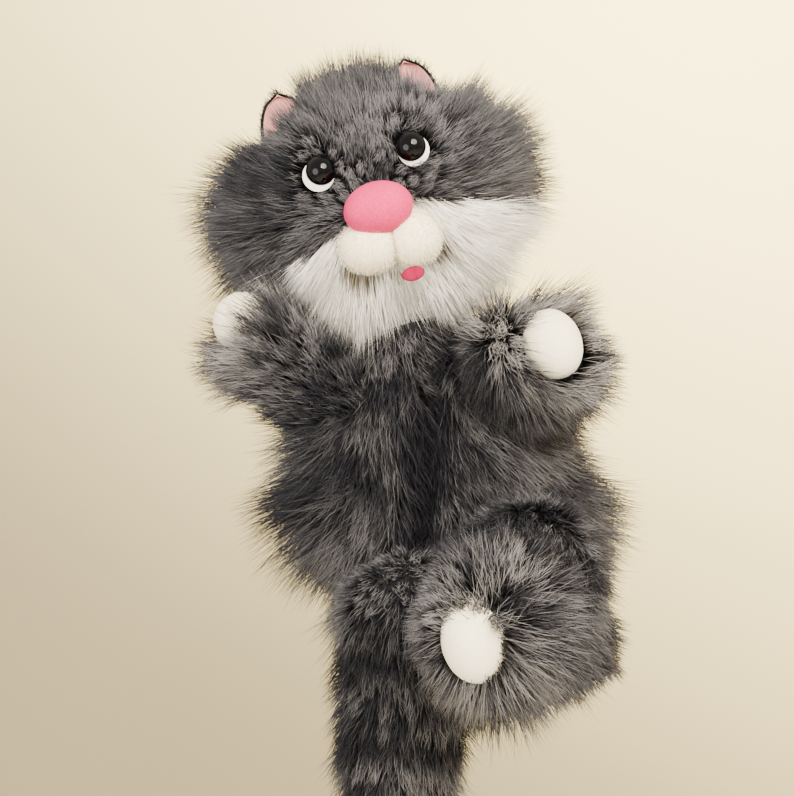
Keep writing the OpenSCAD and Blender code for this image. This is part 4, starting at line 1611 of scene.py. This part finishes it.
@dataclass
class Arm:
    """One arm: its sleeve, the pile with its pale fringe at the wrist, and the stuffed paw."""

    shop: Workshop
    side: Side
    strands: int
    fringe: Point
    over: float
    tall: float = 1.02
    lobe: Point = (0.0, 0.0, 0.0)
    whorl: Point | None = None

    def build(self) -> None:
        """Makes the arm's pieces."""
        word = self.side.word
        body = Body[f"ARM_{self.side.name}"]
        root = joint_place(f"arm_{word}_swing")
        paw = middle(f"paw_{word}")
        way = unit(paw - root)
        radius = 15.2
        length = float((paw - root) @ way) - 4.5
        keys = (*round_end(radius, 0.0, -1), (length * 0.6, radius + 0.4), (length - 3, radius - 0.4),
                (length + 0.5, radius - 2.4), (length + 1.2, radius - 5.0), (length - 1.5, radius - 8.0),
                (length - 2.0, 0.0))
        limb = Limb(self.shop, f"sleeve_ground_{word}", root, way, side_line(keys, 2.2))
        skin = limb.skin()
        self._bulge(skin, limb, length)
        p, n = points_of(skin)
        s = limb.along(p)
        radial = unit((p - root) - np.outer(s, way))
        end = ramp(length * 0.35, length, s)
        rim = ramp(length - 7, length - 1, s)
        fringe = np.array(self.fringe)
        toward = np.maximum(-radial[:, 1], 0) * end
        comb = (np.outer(0.85 - 0.4 * end, way) + radial * (0.5 + 0.4 * end)[:, None] + np.array([0, 0, -0.22])
                + np.outer(end, fringe * 0.55) + np.outer(toward * self.over, way))
        middle_light = np.zeros(len(p))
        if self.whorl is not None:
            away = (p - np.array(self.whorl)) * [1, 0, 1]
            wheel = ramp(0, 13, np.linalg.norm(away, axis=1))
            turned = unit(away) * (0.9 * wheel)[:, None] + n * (1.0 - 0.62 * wheel)[:, None] + [0, 0, -0.2]
            comb = unit(turned) * 0.65 + unit(comb) * 0.35 + np.outer(rim * 0.6, way)
            middle_light = 1 - wheel
        comb = unit(comb) + ripple(p, 18, 5.0) * 0.34 + ripple(p, 7, 8.0) * 0.24
        outer = ramp(-0.4, 0.6, radial @ unit(fringe))
        length_of = 18.5 + 6 * end * outer + ripple(p, 13, 6.0)[:, 1] * 5
        length_of *= 0.62 + 0.38 * ramp(-radius, 4, s)
        inside = np.linalg.norm(p - root - np.outer(s, way), axis=1) < radius - 6
        cover = ramp(length + 1.0, length - 1.5, s + np.where(inside, 9, 0)) * (1 + rim)
        dark = np.exp(-(((s - length * 0.22 - ripple(p, 20, 3.0)[:, 0] * 5) / 6.5) ** 2))
        tone = ripple(p, 24, 33.0)[:, 0] * 0.7 - 0.6 * dark + 0.22 * end * outer - 0.18 + 0.35 * middle_light
        tint = np.clip(0.2 + 0.6 * end * outer + 0.5 * rim + 0.5 * middle_light, 0, 1)
        pile = PileCut(f"sleeve_pile_{word}", self.strands, GREY_PILE, 83 + self.side.value, comb, length_of, cover,
                       tone, tint, lock=4.6, gather=0.6, width=0.34, ragged=0.55)
        finish_piece(pile.build(skin, self.shop), body, (f"sleeve_{word}",))
        finish_piece(skin, body, (f"sleeve_{word}",))
        self._paw(word, body, paw, way)

    def _bulge(self, skin: bpy.types.Object, limb: Limb, length: float) -> None:
        """Pushes a soft bulge of the sleeve's cloth toward its lobe."""
        push = np.array(self.lobe)
        if not push.any():
            return
        p, n = points_of(skin)
        s = limb.along(p)
        share = np.maximum(n @ unit(push), 0) ** 1.5 * ramp(8, length * 0.55, s) * ramp(length + 0.8, length - 5, s)
        move_points(skin, p + np.outer(share, push))

    def _paw(self, word: str, body: Body, paw: np.ndarray, way: np.ndarray) -> None:
        """The stuffed felt paw, longer along the arm, with its sewn seam."""
        radius = half_size(f"paw_{word}")[0]
        first, second = across(way)
        axes = np.stack([first, second, way])

        def mitten(d: np.ndarray) -> np.ndarray:
            """A round paw, pinched a little along its seam."""
            pinch = 1 - 0.035 * np.exp(-((d[:, :1] / 0.05) ** 2))
            return (d * [0.90, self.tall, 0.97] * radius * pinch) @ axes

        centre = paw + second * (self.tall - 1) * 8
        piece = smooth_ball(centre, np.full(3, radius), 5, f"paw_felt_{word}", self.shop.finish(FELT), mitten)
        piece = inflate(piece, 1.6, 3.0, 0.6)
        finish_piece(piece, body, (f"paw_{word}",))
        angle = np.linspace(0.7, math.pi * 0.85, 30)
        line = paw + (np.outer(np.sin(angle), second) * self.tall + np.outer(np.cos(angle), way)) * radius * 0.985
        finish_piece(self.shop.stitch(f"paw_seam_{word}", line, 1.6, 0.28, THREAD, share=0.8), body)


@dataclass
class Leg:
    """One leg: its stuffed casing, the long pile round the foot, and the felt toe ball."""

    shop: Workshop
    side: Side
    strands: int
    droop: float
    mane: float
    length: float
    fuller: Point
    lean: float = 0.0
    shade: float = 0.0

    def build(self) -> None:
        """Makes the leg's pieces."""
        word = self.side.word
        body = Body[f"LEG_{self.side.name}"]
        root = joint_place(f"leg_{word}_swing")
        toe = middle(f"toe_{word}")
        way = unit(toe - root)
        reach = float(np.linalg.norm(toe - root)) - 2
        radius = 19.7
        keys = (*round_end(radius, 0.0, -1), (0.45 * reach, radius + 0.4), (0.8 * reach, radius),
                (reach, 0.84 * radius), (reach + 4.0, 0.66 * radius), (reach + 5.0, 0.45 * radius), (reach + 4.6, 0.0))
        limb = Limb(self.shop, f"leg_ground_{word}", root, way, side_line(keys, 2.4))
        skin = limb.skin()
        p, n = points_of(skin)
        s = limb.along(p)
        radial = unit((p - root) - np.outer(s, way))
        end = ramp(reach * 0.3, reach * 0.95, s)
        off_axis = np.linalg.norm(p - root - np.outer(s, way), axis=1)
        rim = np.where(s > reach - 1, ramp(17, 11, off_axis), 0.0) * self.mane
        comb = (np.outer(0.78 - 0.55 * end * self.mane, way) + radial * (0.36 + 0.62 * end * self.mane)[:, None]
                + np.array([0, 0, -self.droop]) + np.outer(rim * 0.45, way))
        comb += n * (1.35 * ramp(10, -0.5 * radius, s))[:, None]
        comb = unit(comb) + ripple(p, 24, 15.0) * 0.4 + ripple(p, 8, 18.0) * 0.24
        length_of = (self.length + ripple(p, 15, 16.0)[:, 1] * 5) * (1 + end * (radial @ np.array(self.fuller)))
        length_of *= 0.6 + 0.4 * ramp(-radius, 6, s)
        cover = np.where(s > reach, ramp(8.0, 10.5, off_axis), 1.0) * (1 + rim)
        dark = np.zeros(len(p))
        # The band a fifth of the way along is painted shadow where the leg meets the glove; the band at six tenths is a
        # darker arc in the fur.
        for place, width in ((0.2, 7.0), (0.6, 5.5)):
            dark = np.maximum(dark, np.exp(-(((s - reach * place - ripple(p, 25, 23.0)[:, 2] * 7) / width) ** 2)))
        tone = ripple(p, 26, 43.0)[:, 0] * 0.7 - 0.7 * dark - 0.1 + self.shade
        tone += 0.2 * end - 0.35 * (1 - end) * self.mane
        tint = np.clip(0.12 + 0.15 * end + 0.5 * rim, 0, 1)
        pile = PileCut(f"leg_pile_{word}", self.strands, GREY_PILE, 93 + self.side.value, comb, length_of, cover, tone,
                       tint, lock=5.0, gather=0.6, width=0.35, ragged=0.5)
        finish_piece(pile.build(skin, self.shop), body, (f"leg_{word}",))
        finish_piece(skin, body, (f"leg_{word}",))
        self._toe(word, body, toe, way)

    def _toe(self, word: str, body: Body, toe: np.ndarray, way: np.ndarray) -> None:
        """The stuffed felt toe ball, taller than wide, with its sewn seam."""
        first, second = across(way)
        if abs(float(way[2])) > 0.7:
            first, second = second, first
        turn = math.radians(self.lean)
        wide = first * math.cos(turn) + second * math.sin(turn)
        tall = second * math.cos(turn) - first * math.sin(turn)
        axes = np.stack([wide, way, tall])
        radii = np.array([12.0, 11.5, 15.8])

        def ball(d: np.ndarray) -> np.ndarray:
            """An egg, slightly fuller below."""
            full = 1 + 0.03 * -d[:, 2:3]
            return (d * radii * full * 0.965) @ axes

        piece = smooth_ball(toe, radii, 5, f"toe_felt_{word}", self.shop.finish(FELT), ball)
        piece = inflate(piece, 1.6, 3.0, 0.6)
        finish_piece(piece, body, (f"toe_{word}",))
        angle = np.linspace(0.9, math.pi - 0.4, 40)
        round_line = np.outer(np.cos(angle), tall) * radii[2] + np.outer(np.sin(angle), wide) * radii[0]
        line = toe + round_line * 0.98 + way * 1.5
        finish_piece(self.shop.stitch(f"toe_seam_{word}", line, 1.6, 0.28, THREAD, share=0.8), body)


# ---------------------------------------------------------------- studio


@dataclass
class Studio:
    """The camera, the soft lights, the pale floor and the wall."""

    lens: float = 66.9
    distance: float = 620.0
    aim: tuple[float, float] = (-12.0, 131.0)
    roll: float = 15.0

    def build(self) -> None:
        """Makes the studio."""
        self._camera()
        self._lights()
        self._stage()

    def _camera(self) -> None:
        """The camera, level with the glove's middle and rolled a little."""
        data = bpy.data.cameras.new("camera")
        data.lens = self.lens
        data.clip_start, data.clip_end = 0.01, 20
        camera = bpy.data.objects.new("camera", data)
        bpy.context.scene.collection.objects.link(camera)
        a = math.radians(self.roll)
        right, up = Vector((math.cos(a), 0, -math.sin(a))), Vector((math.sin(a), 0, math.cos(a)))
        turn = Matrix((right, up, Vector((0, -1, 0)))).transposed().to_4x4()
        camera.matrix_world = Matrix.Translation(Vector((self.aim[0], -self.distance, self.aim[1])) * MM) @ turn
        bpy.context.scene.camera = camera

    def _lights(self) -> None:
        """A large soft key from above, a fill and an even surrounding."""
        world = bpy.data.worlds.new("studio")
        world.use_nodes = True
        ground = next(n for n in world.node_tree.nodes if n.type == "BACKGROUND")
        ground.inputs["Color"].default_value = srgb("fff6ea")
        ground.inputs["Strength"].default_value = 1.7
        bpy.context.scene.world = world
        puppet, wall = (0.0, 0.0, 0.14), (0.35, 1.5, 0.6)
        for name, place, aim, size, power, colour in (
                ("key", (0.6, -1.15, 0.72), puppet, 0.9, 82.0, "fff4e6"),
                ("fill", (-0.75, -1.0, 0.2), puppet, 0.9, 22.0, "f6f4f2"),
                ("catch", (0.2, -0.95, 0.5), puppet, 0.08, 6.0, "ffffff"),
                ("wash", (0.75, 0.35, 0.8), wall, 0.7, 75.0, "fff0d0")):
            data = bpy.data.lights.new(name, "AREA")
            data.shape, data.size, data.energy = "DISK", size, power
            data.color = srgb(colour)[:3]
            lamp = bpy.data.objects.new(name, data)
            bpy.context.scene.collection.objects.link(lamp)
            lamp.location = place
            lamp.rotation_euler = (Vector(aim) - Vector(place)).to_track_quat("-Z", "Y").to_euler()

    def _stage(self) -> None:
        """A plastered wall well behind the puppet, with painted light across it, and a pale floor far below."""
        wall_finish, tree, surface = start_material("plain_wall")
        place = tree.add("ShaderNodeTexCoord").outputs["Object"]
        parts = tree.add("ShaderNodeSeparateXYZ", {}, Vector=place)
        # Painted light: the wall's colour runs from dull and dark low on the left to bright yellow high on the right,
        # as the light falls across it.
        slope = tree.math("ADD", tree.math("MULTIPLY", parts.outputs["X"], 0.55),
                          tree.math("MULTIPLY", parts.outputs["Z"], 0.5))
        share = tree.add("ShaderNodeMapRange", {"interpolation_type": "SMOOTHSTEP"}, Value=slope, From_Min=-0.35,
                         From_Max=0.55)
        tree.put(surface, "Base Color", tree.mix(share.outputs[0], srgb("8d8468"), srgb("fff0b4")))
        grain = tree.add("ShaderNodeTexNoise", {}, Vector=place, Scale=260.0, Detail=4.0)
        bump = tree.add("ShaderNodeBump", {}, Strength=0.15, Distance=0.001, Height=grain.outputs[0])
        tree.put(surface, "Normal", bump.outputs["Normal"])
        tree.put(surface, "Roughness", 0.9)
        floor_finish, tree, surface = start_material("pale_floor")
        place = tree.add("ShaderNodeTexCoord").outputs["Object"]
        grain = tree.add("ShaderNodeTexNoise", {}, Vector=place, Scale=60.0, Detail=4.0)
        tree.put(surface, "Base Color", tree.mix(grain.outputs[0], srgb("d8d2c4"), srgb("e6e0d2")))
        tree.put(surface, "Roughness", 0.85)
        corners = np.array([[-1, 0, -1], [1, 0, -1], [1, 0, 1], [-1, 0, 1]], float)
        wall = mesh_object("wall", corners * 4000 + [0, 1500, 0], [(0, 1, 2, 3)], wall_finish)
        floor = mesh_object("floor", corners[:, [0, 2, 1]] * 4000 + [0, 0, -640], [(0, 1, 2, 3)], floor_finish)
        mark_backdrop(wall, floor)


def inner_parts(shop: Workshop) -> None:
    """Dresses the parts inside the head, the neck and the limbs."""
    for node in ("head_wadding", "leg_wadding_right", "leg_wadding_left"):
        dress(node, shop.finish(WADDING))
    for side in Side:
        for part, limb in (("paw", "ARM"), ("toe", "LEG")):
            node = f"{part}_wadding_{side.word}"
            name = f"{part}_stuffing_{side.word}"
            ball = smooth_ball(middle(node), half_size(node) * 0.93, 4, name, shop.finish(WADDING))
            finish_piece(ball, Body[f"{limb}_{side.name}"], (node,))
    for node in (f"finger_pocket_{s.word}" for s in Side):
        dress(node, shop.finish(COTTON))
    for node in ("neck_ball", "neck_ring", "neck_band", *(f"armhole_facing_{s.word}" for s in Side)):
        dress(node, shop.finish(GROUND))
    dress("finger_tube", shop.finish(COTTON))


def main() -> None:
    """Builds the puppet round the frame."""
    logging.basicConfig(level=logging.INFO, format="%(name)s %(message)s")
    noise.seed_set(NOISE_SEED)
    cad_box = [list(corner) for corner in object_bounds()]
    low, high = (np.array(corner) / MM for corner in cad_box)
    spare = (high - low) * 0.03 + 9.6
    Studio().build()
    shop = Workshop(Palette(), pile_tree(), stitch_tree(), (low - spare, high + spare))
    Head(shop).build()
    Glove(shop).build()
    Arm(shop, Side.RIGHT, 13000, (-1.0, -0.1, 0.25), over=1.5).build()
    Arm(shop, Side.LEFT, 15500, (1.0, -0.2, 0.15), over=0.3, tall=1.14, lobe=(-6.0, -1.2, 5.2),
        whorl=(29.0, -58.0, 149.0)).build()
    Leg(shop, Side.RIGHT, 11000, 0.1, 0.2, 14.0, (0.0, 0.0, 0.0), shade=0.14).build()
    Leg(shop, Side.LEFT, 17000, 0.2, 1.0, 18.0, (0.38, 0.0, -0.28), lean=11.0).build()
    inner_parts(shop)


if __name__ == "__main__":
    main()
